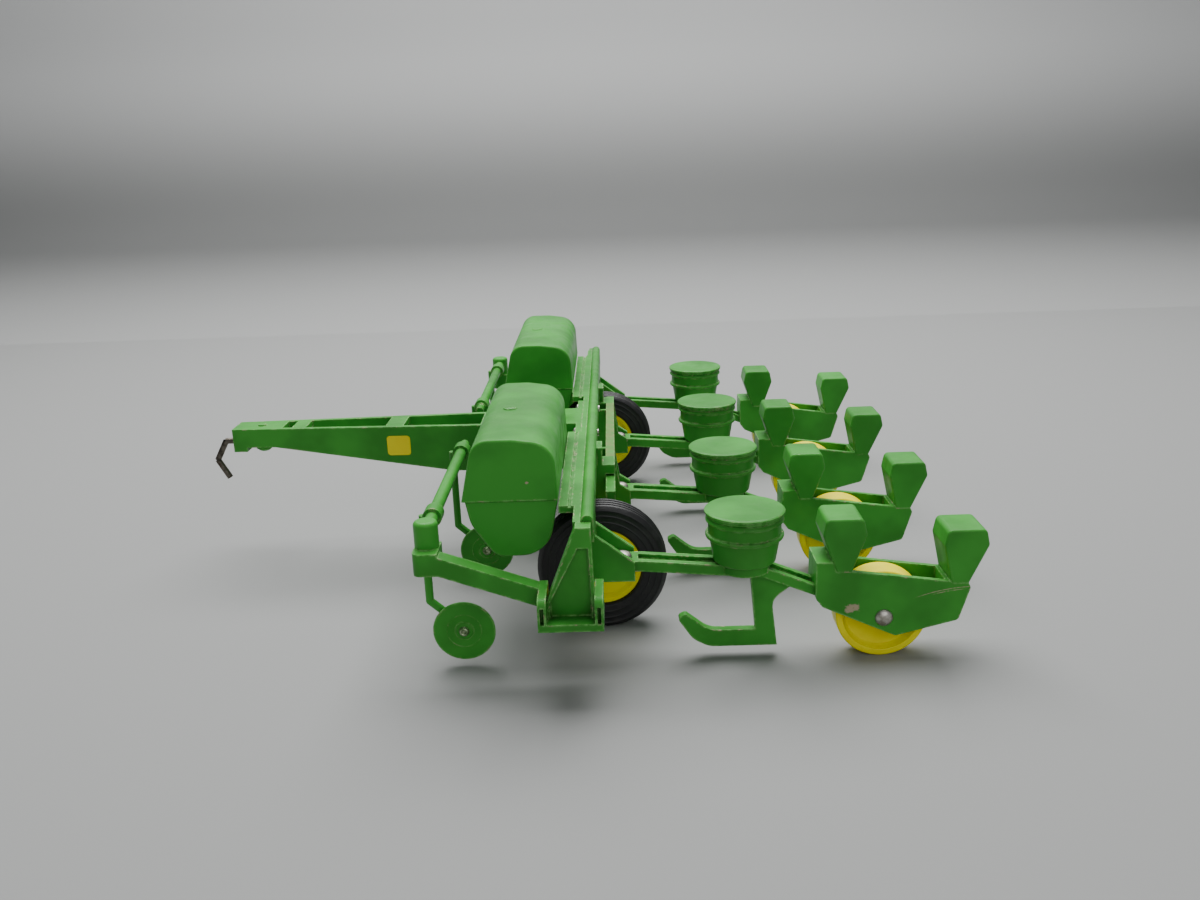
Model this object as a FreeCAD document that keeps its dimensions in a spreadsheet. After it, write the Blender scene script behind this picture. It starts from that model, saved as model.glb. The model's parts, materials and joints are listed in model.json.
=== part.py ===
"""Four-row toy corn planter, die-cast, about one sixteenth of full size.

Millimetres. +X points forward to the hitch, +Y to the left, +Z up; the wheels stand on Z = 0.
Each piece is drawn about the wheel axle (X = 0, Y = 0) or about its own centre, and its
Placement then puts it in the frame of the finished toy, whose origin is the middle of its
outline on the ground. Row 1 is the left-hand row and row 4 the right-hand one.
"""
import FreeCAD, Part
import os
import re
import Sketcher

Vector = FreeCAD.Vector

# ---------------------------------------------------------------- driving dimensions
SIZES = {
    # carrying wheels and axle
    "tyre_radius": 19.5, "tyre_width": 8.5, "tyre_shoulder": 0.8, "rib_groove_width": 0.7,
    "rib_groove_depth": 0.8, "wheel_offset": 67.5, "rim_radius": 11.7, "rim_width": 6.4,
    "rim_flange": 1.6, "rim_web": 2.2, "rim_hub_radius": 3.4, "rim_hub_length": 8.0,
    "axle_radius": 1.5, "axle_head_radius": 2.6, "axle_head_length": 1.0,
    "running_gap": 0.05, "side_gap": 0.3, "snug_gap": 0.02,
    # rear beam
    "beam_length": 219.0, "beam_back": 1.2, "beam_width": 5.4, "beam_depth": 5.6,
    "wheel_clearance": 4.0, "ridge_radius": 1.7, "walkway_half_length": 97.0,
    "walkway_opening": 48.0, "walkway_thickness": 2.0, "walkway_groove_width": 0.8,
    "walkway_groove_depth": 0.5,
    # row brackets under the beam
    "row_spacing": 60.3, "bracket_width": 12.0, "gusset_thickness": 1.5, "bracket_drop": 15.4,
    "bracket_floor": 1.8, "bracket_back": 9.4, "gusset_front_rise": 11.8, "gusset_back_rise": 3.7,
    "hanger_thickness": 2.4, "pivot_back": 6.0, "pivot_radius": 1.4,
    "pivot_head_radius": 2.75, "pivot_head_height": 1.6, "pivot_tail_height": 0.9,
    # axle struts and rear rail
    "strut_width": 8.0, "strut_back": 1.6, "strut_front": 3.4,
    "strut_boss_radius": 3.6, "strut_cap_back": 0.6, "rail_back": 4.5, "rail_depth": 3.0,
    "fender_rail_end": 59.5, "fender_rail_drop": 3.6, "gusset_knee_back": 6.0,
    "gusset_knee_rise": 5.9,
    # side frames, one each end
    "end_web_thickness": 3.0, "end_flange": 0.8, "end_web_top": 4.0,
    "end_flange_rise": 1.6, "clevis_back": 0.8,
    "clevis_length": 17.1, "clevis_bottom": 21.6, "clevis_height": 8.8, "clevis_reach": 118.0,
    "clevis_inner": 104.5, "clevis_ear": 2.3, "clevis_floor": 2.0, "clevis_round": 2.6,
    "clevis_slot_width": 1.0, "clevis_slot_depth": 2.6, "clevis_slot_height": 4.6,
    "side_rail_width": 5.0, "side_rail_depth": 5.2, "side_rail_rear": 25.0,
    "side_rail_front": 34.4, "corner_back": 42.4, "corner_length": 6.8, "corner_inner": 100.0,
    "corner_depth": 6.2, "corner_round": 2.2, "post_radius": 3.3, "post_height": 7.4,
    "post_round": 1.2,
    # front bars
    "front_bar_radius": 1.8, "front_bar_height": 44.8, "front_bar_seat": 3.0,
    "front_bar_step": 26.5, "front_bar_end": 21.5, "front_stub_radius": 1.45,
    # disc openers
    "disc_radius": 8.9, "disc_lift": 1.6, "disc_forward": 39.3, "disc_thickness": 1.0,
    "disc_hub_radius": 2.4, "disc_hub_step": 0.5, "disc_dish": 0.8, "disc_rod_radius": 1.15,
    "disc_bend_height": 19.0, "disc_eye_radius": 2.7,
    "disc_eye_width": 5.0, "disc_foot_radius": 2.1, "disc_rivet_radius": 0.9,
    "disc_rivet_head_radius": 1.5, "disc_rivet_head_height": 0.7,
    # tongue and hook
    "tongue_nose": 130.0, "tongue_nose_width": 10.4, "tongue_rear_width": 20.8,
    "tongue_web": 1.8, "tongue_top_drop": 0.9, "tongue_plate": 2.2, "nose_depth": 8.2,
    "nose_step": 1.5, "nose_block": 4.8, "nose_plate_end": 113.0, "tongue_waist": 115.0,
    "tongue_belly": 52.0, "tongue_belly_depth": 16.4, "tongue_heel": 12.6,
    "tongue_rear_depth": 7.0,
    "window_1_front": 112.4, "window_1_back": 109.0, "window_2_front": 104.0,
    "window_2_back": 75.5, "window_3_front": 69.2, "window_3_back": 42.0, "tongue_flange": 2.0,
    "tongue_flange_width": 44.0, "tongue_flange_round": 0.8, "nose_boss_forward": 120.7,
    "nose_boss_radius": 2.9,
    "tongue_rivet_offset": 16.0, "tongue_rivet_radius": 1.2,
    "tongue_rivet_head_radius": 1.9, "tongue_rivet_head_height": 1.0, "hitch_rivet_radius": 1.4,
    "hitch_rivet_head_radius": 2.4, "hitch_rivet_head_height": 1.2,
    "hook_radius": 1.05, "hook_height": 42.3, "hook_seat": 6.0, "hook_bend_forward": 134.4,
    "hook_reach": 138.2, "hook_reach_height": 35.4, "hook_end_forward": 134.6,
    "hook_end_height": 28.6,
    # fertiliser hoppers
    "hopper_inner": 30.0, "hopper_length": 66.6, "hopper_front": 37.0, "hopper_back": 10.8,
    "hopper_lid_height": 17.2, "hopper_seam_rise": 1.6, "hopper_brow_back": 3.8,
    "hopper_rear_fall": 1.6, "hopper_rear_lean": 0.6, "hopper_wall": 1.6, "hopper_ledge": 0.8,
    "hopper_crown_forward": 22.5,
    "hopper_body_depth": 16.2, "hopper_toe_forward": 28.6, "hopper_heel_forward": 14.2,
    "hopper_belly_forward": 34.9, "hopper_belly_rise": 9.4, "hopper_belly_round": 10.0,
    "hopper_brow_round": 5.6, "hopper_crown_round": 7.0,
    "hopper_toe_round": 5.0, "hopper_heel_round": 9.0, "hopper_end_round": 0.8,
    "hopper_bolt_forward": 25.6, "hopper_bolt_radius": 1.1, "hopper_bolt_head_radius": 2.1,
    "hopper_bolt_head_height": 0.6,
    # row arm with its runner
    "arm_width": 7.4, "arm_depth": 3.0, "arm_gap": 0.1, "arm_nose": 4.2, "arm_level": 5.0,
    "arm_bend": 39.0, "arm_bend_fall": 2.9, "arm_end": 53.0, "arm_end_fall": 8.6,
    "arm_groove_width": 3.6, "arm_groove_depth": 1.2, "arm_groove_start": 4.4,
    "runner_thickness": 2.6, "runner_clearance": 3.0, "runner_depth": 5.0,
    "leg_front": 35.4, "leg_width": 6.2, "leg_rake": 1.6, "runner_front": 24.0,
    "runner_curve": 19.4, "runner_curve_rise": 2.4, "runner_tip": 15.0,
    "runner_tip_rise": 10.2, "runner_tip_width": 2.4, "leg_fillet": 4.5,
    "leg_heel_height": 17.0, "leg_web": 7.0, "runner_round": 7.0, "runner_tip_round": 1.0,
    # seed can
    "can_back": 34.0, "can_seat_radius": 7.0, "can_seat_rise": 0.9, "can_seat_depth": 2.9,
    "can_foot_radius": 8.7,
    "can_cone_radius": 9.9, "can_cone_height": 7.2, "can_ring_radius": 10.85,
    "can_ring_height": 1.0, "can_body_radius": 10.4, "can_body_height": 3.4,
    "can_ridge_height": 0.9, "can_groove_height": 0.7, "can_wall": 1.3,
    "can_lid_radius": 11.1, "can_lid_height": 1.0, "can_lid_round": 0.35,
    "can_spigot_depth": 1.5, "can_peg_radius": 1.6, "can_peg_length": 1.2,
    # press wheel frame, with its two boxes
    "press_frame_width": 12.0, "press_plate": 1.4, "press_front_wall": 2.5, "press_round": 1.5,
    "press_front_top": 29.6, "press_front_low": 19.0, "press_knee_back": 55.0,
    "press_knee_height": 16.4, "press_keel_back": 75.4, "press_keel_height": 7.2,
    "press_heel_back": 92.6, "press_heel_height": 11.6, "press_tail_back": 95.5,
    "press_tail_height": 21.2, "press_tail_top_back": 94.5, "press_tail_top_height": 23.2,
    "press_sill_front_back": 63.0, "press_sill_front_height": 26.8,
    "press_sill_rear_back": 89.2, "press_front_top_back": 60.0, "press_cavity_end": 88.6,
    "press_block_back": 62.4, "press_block_high": 27.0, "press_block_low": 24.6,
    "press_block_front": 58.5, "press_block_foot": 21.5,
    "front_box_foot_front": 58.4, "front_box_foot_back": 62.8, "front_box_foot": 26.8,
    "front_box_front": 54.6, "front_box_back": 66.6, "front_box_waist": 37.4,
    "front_box_top": 42.2, "front_box_top_front": 55.5, "front_box_top_back": 65.6,
    "rear_box_foot_front": 90.0, "rear_box_foot_back": 94.9, "rear_box_foot": 22.6,
    "rear_box_front": 87.6, "rear_box_back": 99.9, "rear_box_waist": 33.6,
    "rear_box_top": 38.2, "rear_box_top_front": 88.5, "rear_box_top_back": 98.9,
    "box_width": 12.8, "box_round": 1.6, "box_edge_round": 0.7,
    # press wheel and its axle
    "press_axle_back": 72.0, "press_wheel_radius": 12.8, "press_wheel_width": 7.4,
    "press_wheel_rim": 2.2, "press_wheel_web": 2.4, "press_hub_radius": 3.0,
    "press_side_gap": 0.1, "press_axle_radius": 1.05, "press_head_radius": 2.5,
    "press_head_height": 1.3, "press_tail_radius": 2.0, "press_tail_length": 0.8,
}

# ---------------------------------------------------------------- levels worked out from them
BEAM_BOTTOM = "(2 * tyre_radius + wheel_clearance)"
BEAM_TOP = f"({BEAM_BOTTOM} + beam_depth)"
BEAM_FRONT = "(beam_back + beam_width)"
FLOOR_TOP = f"({BEAM_BOTTOM} - bracket_drop)"
FLOOR_BOTTOM = f"({FLOOR_TOP} - bracket_floor)"
SEAM = f"({BEAM_TOP} + hopper_seam_rise)"
ARM_BOTTOM = f"({FLOOR_TOP} + arm_gap)"
ARM_TOP = f"({ARM_BOTTOM} + arm_depth)"
CAN_FOOT = (f"({ARM_TOP} - arm_bend_fall * (can_back - arm_level) / (arm_bend - arm_level)"
            " + can_seat_rise)")
TONGUE_TOP = f"({BEAM_TOP} - tongue_top_drop)"
TONGUE_REAR = f"({BEAM_FRONT} + tongue_flange)"
END_WEB_INNER = "(beam_length / 2)"
END_WEB_OUTER = "(beam_length / 2 + end_web_thickness)"
STRUT_INNER = "(row_spacing / 2 + bracket_width / 2)"
STRUT_OUTER = f"({STRUT_INNER} + strut_width)"
POST_FORWARD = "(corner_back + corner_length / 2)"
POST_OFFSET = "(corner_inner + post_radius)"
ROD_FORWARD = f"({POST_FORWARD} + front_bar_radius + disc_rod_radius)"
RIVET_LEVEL = f"({BEAM_BOTTOM} + beam_depth / 2)"
DISC_HEIGHT = "(disc_radius + disc_lift)"
MIDDLE = ("((hook_reach + hook_radius - pivot_back - rear_box_back) / 2)")
ROW_OFFSETS = {1: "(1.5 * row_spacing)", 2: "(0.5 * row_spacing)",
               3: "(-0.5 * row_spacing)", 4: "(-1.5 * row_spacing)"}
SIDES = {"left": 1, "right": -1}

doc = FreeCAD.newDocument("corn_planter")


def fill_sheet():
    """Write every driving dimension into the spreadsheet, with its name as the alias."""
    sheet = doc.addObject("Spreadsheet::Sheet", "Sizes")
    for line, (name, value) in enumerate(SIZES.items(), start=1):
        sheet.set(f"A{line}", name)
        sheet.set(f"B{line}", str(value))
        sheet.setAlias(f"B{line}", name)
    doc.recompute()


def sized(text):
    """Turn the names of sizes in a formula into references to the spreadsheet."""
    return re.sub(r"[a-z][a-z_0-9]*",
                  lambda word: "Sizes." + word.group(0) if word.group(0) in SIZES else word.group(0),
                  str(text))


# ---------------------------------------------------------------- modelling helpers
def new_body(name):
    """A PartDesign body whose Label is the node's name."""
    body = doc.addObject("PartDesign::Body", name)
    body.Label = name
    return body


def place(piece, forward="0", offset="0", height="0"):
    """Bind a finished piece's place in the toy to the spreadsheet."""
    piece.setExpression("Placement.Base.x", sized(f"{forward} - {MIDDLE}"))
    piece.setExpression("Placement.Base.y", sized(offset))
    piece.setExpression("Placement.Base.z", sized(height))


def new_sketch(body, name, plane, offset="0"):
    """A sketch on one of the body's own origin planes, moved along the world axis."""
    sketch = body.newObject("Sketcher::SketchObject", name)
    origin_plane = next(f for f in body.Origin.OriginFeatures if f.Role == plane + "_Plane")
    sketch.AttachmentSupport = [(origin_plane, "")]
    sketch.MapMode = "FlatFace"
    sign = "-" if plane == "XZ" else ""
    sketch.setExpression("AttachmentOffset.Base.z", sized(f"{sign}({offset})"))
    return sketch


def draw_outline(sketch, corners, closed=True):
    """Lines from corner to corner, each corner held by two named distances."""
    count = len(corners)
    runs = count if closed else count - 1
    for run in range(runs):
        start = Vector(run, run * run, 0)
        sketch.addGeometry(Part.LineSegment(start, start + Vector(1, 0, 0)))
    for run in range(runs - 1 + closed):
        sketch.addConstraint(Sketcher.Constraint("Coincident", run, 2, (run + 1) % runs, 1))
    for index, (across, up) in enumerate(corners):
        edge, end = (index, 1) if index < runs else (index - 1, 2)
        for kind, formula in (("DistanceX", across), ("DistanceY", up)):
            number = sketch.addConstraint(Sketcher.Constraint(kind, -1, 1, edge, end, 1.0))
            sketch.setExpression(f"Constraints[{number}]", sized(formula))


def draw_circle(sketch, across, up, radius):
    """A circle held by the distances to its centre and by its radius."""
    sketch.addGeometry(Part.Circle(Vector(0, 0, 0), Vector(0, 0, 1), 1.0))
    for kind, formula in (("DistanceX", across), ("DistanceY", up)):
        number = sketch.addConstraint(Sketcher.Constraint(kind, -1, 1, 0, 3, 1.0))
        sketch.setExpression(f"Constraints[{number}]", sized(formula))
    number = sketch.addConstraint(Sketcher.Constraint("Radius", 0, 1.0))
    sketch.setExpression(f"Constraints[{number}]", sized(radius))


def raise_sketch(body, sketch, plane, start, end, cut):
    """Pad or pocket a sketch from one station to the next along the plane's world axis."""
    before = body.Shape.Volume if cut else 0.0
    kind = "Pocket" if cut else "Pad"
    feature = body.newObject(f"PartDesign::{kind}", f"{sketch.Name}_{kind.lower()}")
    feature.Profile = sketch
    feature.setExpression("Length", sized(f"({end}) - ({start})"))
    feature.Reversed = (plane == "XZ") != cut
    sketch.Visibility = False
    body.Tip = feature
    doc.recompute()
    if cut and body.Shape.Volume > before - 1e-4:
        raise RuntimeError(f"{feature.Name} removes nothing")
    return feature


def prism(body, name, plane, corners, start, end, cut=False, rounds=None):
    """Raise an outline; rounds maps a radius's name to the corners that it rounds."""
    sketch = new_sketch(body, name, plane, start)
    draw_outline(sketch, corners)
    feature = raise_sketch(body, sketch, plane, start, end, cut)
    for number, (radius, chosen) in enumerate((rounds or {}).items(), start=1):
        spots = [corner_spot(sketch, plane, index) for index in chosen]
        round_edges(body, f"{name}_round_{number}", radius,
                    lambda edge: runs_through(edge, spots, plane))
    return feature


def bar(body, name, plane, across, up, radius, start, end, cut=False):
    """Raise a circle, as a round bar or a hole."""
    sketch = new_sketch(body, name, plane, start)
    draw_circle(sketch, across, up, radius)
    return raise_sketch(body, sketch, plane, start, end, cut)


def turned(body, name, plane, corners):
    """Turn an outline of radius and station a full turn about the sketch's upright axis."""
    sketch = new_sketch(body, name, plane)
    draw_outline(sketch, corners)
    feature = body.newObject("PartDesign::Revolution", f"{name}_turn")
    feature.Profile = sketch
    feature.ReferenceAxis = (sketch, ["V_Axis"])
    feature.Angle = 360.0
    sketch.Visibility = False
    body.Tip = feature
    doc.recompute()
    return feature


def corner_spot(sketch, plane, index):
    """Where a corner of an outline lies, as the two coordinates of its plane."""
    point = sketch.Geometry[index].StartPoint
    return (point.x, point.y)


def runs_through(edge, spots, plane):
    """True where a straight edge runs across the plane through one of the spots."""
    if len(edge.Vertexes) != 2:
        return False
    axes = {"XY": (0, 1), "XZ": (0, 2), "YZ": (1, 2)}[plane]
    ends = [vertex.Point for vertex in edge.Vertexes]
    return any(all(abs(end[axes[k]] - spot[k]) < 1e-3 for end in ends for k in (0, 1))
               for spot in spots)


def round_edges(body, name, radius, wanted):
    """Fillet the edges of the body that the test picks."""
    base = body.Tip
    names = [f"Edge{number}" for number, edge in enumerate(base.Shape.Edges, start=1)
             if wanted(edge)]
    if not names:
        raise RuntimeError(f"{name} finds no edge")
    fillet = body.newObject("PartDesign::Fillet", name)
    fillet.Base = (base, names)
    fillet.setExpression("Radius", sized(radius))
    body.Tip = fillet
    doc.recompute()


def wire_rod(body, name, route, radius, plane):
    """A bent round rod along a route of (forward, height) points; plane is its section's."""
    path = new_sketch(body, f"{name}_route", "XZ")
    draw_outline(path, route, closed=False)
    across, up = route[0]
    section = new_sketch(body, f"{name}_section", plane, across if plane == "YZ" else up)
    draw_circle(section, *(("0", up) if plane == "YZ" else (across, "0")), radius)
    doc.recompute()
    pipe = body.newObject("PartDesign::AdditivePipe", f"{name}_pipe")
    pipe.Profile = section
    pipe.Spine = (path, [f"Edge{number}" for number in range(1, len(route))])
    pipe.Transition = "Round corner"
    section.Visibility = False
    path.Visibility = False
    body.Tip = pipe
    doc.recompute()


def rivet(name, radius, length, head, tail):
    """One rivet along +Z: shank from 0 to length, domed head above it, flat tail below."""
    shank = doc.addObject("Part::Cylinder", f"{name}_shank")
    shank.setExpression("Radius", sized(radius))
    shank.setExpression("Height", sized(length))
    dome = doc.addObject("Part::Ellipsoid", f"{name}_dome")
    dome.Angle1 = 0.0
    dome.setExpression("Radius1", sized(head[1]))
    dome.setExpression("Radius2", sized(head[0]))
    dome.setExpression("Placement.Base.z", sized(length))
    foot = doc.addObject("Part::Cylinder", f"{name}_foot")
    foot.setExpression("Radius", sized(tail[0]))
    foot.setExpression("Height", sized(tail[1]))
    foot.setExpression("Placement.Base.z", sized(f"-({tail[1]})"))
    whole = doc.addObject("Part::MultiFuse", name)
    whole.Shapes = [shank, dome, foot]
    return whole


def aim(piece, axis, turn):
    """Turn a piece about an axis through its own origin."""
    piece.Placement = FreeCAD.Placement(Vector(0, 0, 0), FreeCAD.Rotation(Vector(*axis), turn))


def group(name, members):
    """Separate solids that share one node."""
    together = doc.addObject("Part::Compound", name)
    together.Links = members
    together.Label = name
    return together


def side_span(side, inner, outer):
    """Start and end along Y of a stretch that lies on one side of the toy."""
    return (inner, outer) if side > 0 else (f"-({outer})", f"-({inner})")


# ---------------------------------------------------------------- carrying wheels
def make_axle():
    """The steel axle: a rod with a collar inside each wheel and a head outside it."""
    body = new_body("axle")
    hub_in = "(wheel_offset - rim_hub_length / 2 - side_gap)"
    hub_out = "(wheel_offset + rim_hub_length / 2 + side_gap)"
    tip = f"({hub_out} + axle_head_length)"
    bar(body, "axle_rod", "XZ", "0", "0", "axle_radius", f"-{tip}", tip)
    for side_name, side in SIDES.items():
        for part, inner, outer in (("collar", f"{hub_in} - axle_head_length", hub_in),
                                   ("head", hub_out, tip)):
            start, end = side_span(side, inner, outer)
            bar(body, f"axle_{part}_{side_name}", "XZ", "0", "0", "axle_head_radius", start, end)
    place(body, height="tyre_radius")
    return body


def make_rim(side_name, side):
    """A moulded wheel centre: hub, web and flanged rim."""
    body = new_body(f"wheel_rim_{side_name}")
    bore = "axle_radius + running_gap"
    inner = "rim_radius - rim_flange"
    half = [(bore, "rim_hub_length / 2"), ("rim_hub_radius", "rim_hub_length / 2"),
            ("rim_hub_radius", "rim_web / 2"), (inner, "rim_web / 2"),
            (inner, "rim_width / 2"), ("rim_radius", "rim_width / 2")]
    other = [(radius, f"-({station})") for radius, station in reversed(half)]
    turned(body, "rim_outline", "XY", half + other)
    place(body, offset=f"{side} * wheel_offset", height="tyre_radius")
    return body


def make_tyre(side_name, side):
    """A rubber tyre with four round ribs parted by three grooves."""
    body = new_body(f"tyre_{side_name}")
    crown = "tyre_radius"
    shoulder = "tyre_radius - tyre_shoulder"
    rib = "((tyre_width - 2 * tyre_shoulder - 3 * rib_groove_width) / 4)"
    floor = "tyre_radius - rib_groove_depth"
    corners = [("rim_radius", "-rim_width / 2"), ("rim_radius + tyre_shoulder", "-tyre_width / 2"),
               (shoulder, "-tyre_width / 2")]
    for number in range(4):
        start = f"tyre_shoulder - tyre_width / 2 + {number} * ({rib} + rib_groove_width)"
        corners += [(crown, start), (crown, f"{start} + {rib}")]
        if number < 3:
            corners += [(floor, f"{start} + {rib}"), (floor, f"{start} + {rib} + rib_groove_width")]
    corners += [(shoulder, "tyre_width / 2"), ("rim_radius + tyre_shoulder", "tyre_width / 2"),
                ("rim_radius", "rim_width / 2")]
    turned(body, "tyre_outline", "XY", corners)
    place(body, offset=f"{side} * wheel_offset", height="tyre_radius")
    return body


# ---------------------------------------------------------------- rear beam
def make_rear_beam():
    """The cross casting: beam, walkways, row brackets, axle struts and rear rail."""
    body = new_body("rear_beam")
    half = "beam_length / 2"
    box = [("beam_back", BEAM_BOTTOM), (BEAM_FRONT, BEAM_BOTTOM), (BEAM_FRONT, BEAM_TOP),
           ("beam_back", BEAM_TOP)]
    prism(body, "beam", "XZ", box, f"-({half})", half)
    bar(body, "beam_ridge", "XZ", "beam_back + ridge_radius", BEAM_TOP, "ridge_radius",
        f"-({half})", half)
    for side_name, side in SIDES.items():
        add_walkway(body, side_name, side)
        add_strut(body, side_name, side)
    for row, offset in ROW_OFFSETS.items():
        add_bracket(body, row, offset)
    add_rear_rail(body)
    for side_name, side in SIDES.items():
        bar(body, f"tongue_hole_{side_name}", "YZ", f"{side} * tongue_rivet_offset",
    RIVET_LEVEL, "tongue_rivet_radius + snug_gap", "beam_back", BEAM_FRONT, cut=True)
    place(body)
    return body


def add_walkway(body, side_name, side):
    """The step between beam and hopper, with a groove along it."""
    start, end = side_span(side, "walkway_opening / 2", "walkway_half_length")
    under = f"{BEAM_TOP} - walkway_thickness"
    plate = [(BEAM_FRONT, under), ("hopper_back", under), ("hopper_back", BEAM_TOP),
             (BEAM_FRONT, BEAM_TOP)]
    prism(body, f"walkway_{side_name}", "XZ", plate, start, end)
    groove_back = f"({BEAM_FRONT} + walkway_groove_width)"
    groove_front = f"({groove_back} + walkway_groove_width)"
    floor = f"{BEAM_TOP} - walkway_groove_depth"
    groove = [(groove_back, floor), (groove_front, floor), (groove_front, BEAM_TOP),
              (groove_back, BEAM_TOP)]
    prism(body, f"walkway_groove_{side_name}", "XZ", groove, start, end, cut=True)


def add_strut(body, side_name, side):
    """A strut from the beam to the axle, with its boss, and the short fender rail."""
    start, end = side_span(side, STRUT_INNER, STRUT_OUTER)
    post = [("-strut_back", "tyre_radius"), ("strut_front", "tyre_radius"),
            ("strut_front", BEAM_BOTTOM), ("-strut_back", BEAM_BOTTOM)]
    prism(body, f"strut_{side_name}", "XZ", post, start, end)
    cap = [("-strut_cap_back", BEAM_BOTTOM), ("beam_back", BEAM_BOTTOM), ("beam_back", BEAM_TOP),
           ("-strut_cap_back", BEAM_TOP)]
    prism(body, f"strut_cap_{side_name}", "XZ", cap, start, end)
    bar(body, f"strut_boss_{side_name}", "XZ", "0", "tyre_radius", "strut_boss_radius", start, end)
    bar(body, f"axle_hole_{side_name}", "XZ", "0", "tyre_radius", "axle_radius + snug_gap", start,
        end, cut=True)
    rail_top = f"{BEAM_BOTTOM} - fender_rail_drop"
    rail = [("-rail_back", f"{rail_top} - rail_depth"), ("-strut_back", f"{rail_top} - rail_depth"),
            ("-strut_back", rail_top), ("-rail_back", rail_top)]
    start, end = side_span(side, STRUT_INNER, "fender_rail_end")
    prism(body, f"fender_rail_{side_name}", "XZ", rail, start, end)


def add_bracket(body, row, offset):
    """A row bracket: hanger plate, floor and two gussets, with the pivot hole."""
    reach = "bracket_width / 2"
    inside = "(bracket_width / 2 - gusset_thickness)"
    hanger = [("beam_back", FLOOR_BOTTOM), ("beam_back + hanger_thickness", FLOOR_BOTTOM),
              ("beam_back + hanger_thickness", BEAM_BOTTOM), ("beam_back", BEAM_BOTTOM)]
    prism(body, f"hanger_{row}", "XZ", hanger, f"{offset} - {reach}", f"{offset} + {reach}")
    floor = [("-bracket_back", FLOOR_BOTTOM), ("beam_back", FLOOR_BOTTOM),
             ("beam_back", FLOOR_TOP), ("-bracket_back", FLOOR_TOP)]
    prism(body, f"bracket_floor_{row}", "XZ", floor, f"{offset} - {inside}",
          f"{offset} + {inside}")
    gusset = [("-bracket_back", FLOOR_BOTTOM), ("beam_back", FLOOR_BOTTOM),
              ("beam_back", f"{FLOOR_TOP} + gusset_front_rise"),
              ("-bracket_back", f"{FLOOR_TOP} + gusset_back_rise")]
    if row in (2, 3):
        gusset = gusset[:2] + [("beam_back", BEAM_BOTTOM), ("-rail_back", BEAM_BOTTOM),
                               ("-gusset_knee_back", f"{FLOOR_TOP} + gusset_knee_rise"), gusset[3]]
    for name, near, far in (("right", f"{offset} - {reach}", f"{offset} - {inside}"),
                            ("left", f"{offset} + {inside}", f"{offset} + {reach}")):
        prism(body, f"gusset_{name}_{row}", "XZ", gusset, near, far)
    bar(body, f"pivot_hole_{row}", "XY", "-pivot_back", offset, "pivot_radius + snug_gap",
        FLOOR_BOTTOM, FLOOR_TOP, cut=True)


def add_rear_rail(body):
    """The rail behind the beam, from strut to strut."""
    low = f"{BEAM_BOTTOM} - rail_depth"
    rail = [("-rail_back", low), ("-strut_back", low), ("-strut_back", BEAM_BOTTOM),
            ("-rail_back", BEAM_BOTTOM)]
    prism(body, "rear_rail", "XZ", rail, f"-{STRUT_OUTER}", STRUT_OUTER)


# ---------------------------------------------------------------- side frames and front bars
def make_side_frame(side_name, side):
    """An end casting: flanged web, marker-arm clevis, sloping rail and corner post."""
    body = new_body(f"side_frame_{side_name}")
    add_end_web(body, side)
    add_clevis(body, side)
    add_side_rail(body, side)
    add_corner(body, side)
    place(body)
    return body


def add_end_web(body, side):
    """The tapered web that closes the beam's end, sunk between raised flanges."""
    back = "(clevis_ear - clevis_back)"
    front = "(clevis_length - clevis_back - clevis_ear)"
    foot = "clevis_bottom + clevis_floor"
    knee = "clevis_bottom + clevis_height - clevis_ear"
    rear_top = "(beam_back + beam_width / 2 - end_web_top / 2)"
    front_top = "(beam_back + beam_width / 2 + end_web_top / 2)"
    web = [(rear_top, BEAM_TOP), (back, knee), (back, foot), (front, foot), (front, knee),
           (front_top, BEAM_TOP)]
    outer = f"{END_WEB_OUTER} + end_flange_rise"
    prism(body, "end_web", "XZ", web, *side_span(side, END_WEB_INNER, outer))
    sunk = [(f"{rear_top} + end_flange", BEAM_BOTTOM), (f"{back} + end_flange", knee),
            (f"{back} + end_flange", foot), (f"{front} - end_flange", foot),
            (f"{front} - end_flange", knee), (f"{front_top} - end_flange / 2", BEAM_BOTTOM)]
    prism(body, "end_web_recess", "XZ", sunk, *side_span(side, END_WEB_OUTER, outer), cut=True)


def add_clevis(body, side):
    """Two slotted ears on a floor plate, where a marker arm would be held."""
    floor_top = "clevis_bottom + clevis_floor"
    rear, front = "-clevis_back", "(clevis_length - clevis_back)"
    floor = [(rear, "clevis_bottom"), (front, "clevis_bottom"), (front, floor_top), (rear, floor_top)]
    prism(body, "clevis_floor_plate", "XZ", floor, *side_span(side, "clevis_inner", "clevis_reach"))
    top = "clevis_bottom + clevis_height"
    ear = [(f"{side} * clevis_inner", "clevis_bottom"), (f"{side} * clevis_reach", "clevis_bottom"),
           (f"{side} * clevis_reach", top), (f"{side} * clevis_inner", top)]
    slot_inner = f"{side} * (clevis_reach - clevis_slot_depth)"
    slot_outer = f"{side} * clevis_reach"
    slot = [(slot_inner, floor_top), (slot_outer, floor_top),
            (slot_outer, f"{floor_top} + clevis_slot_height"),
            (slot_inner, f"{floor_top} + clevis_slot_height")]
    for name, start in (("rear", rear), ("front", f"{front} - clevis_ear")):
        prism(body, f"ear_{name}", "YZ", ear, start, f"{start} + clevis_ear",
              rounds={"clevis_round": [2]})
        middle = f"({start} + clevis_ear / 2)"
        prism(body, f"ear_slot_{name}", "YZ", slot, f"{middle} - clevis_slot_width / 2",
              f"{middle} + clevis_slot_width / 2", cut=True)


def add_side_rail(body, side):
    """The rail that slopes up from the clevis to the front corner."""
    rear = "(clevis_length - clevis_back)"
    rail = [(rear, "side_rail_rear"), ("corner_back", "side_rail_front"),
            ("corner_back", "side_rail_front + side_rail_depth"),
            (rear, "side_rail_rear + side_rail_depth")]
    inner = "clevis_inner"
    prism(body, "side_rail", "XZ", rail, *side_span(side, inner, f"{inner} + side_rail_width"))


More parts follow.
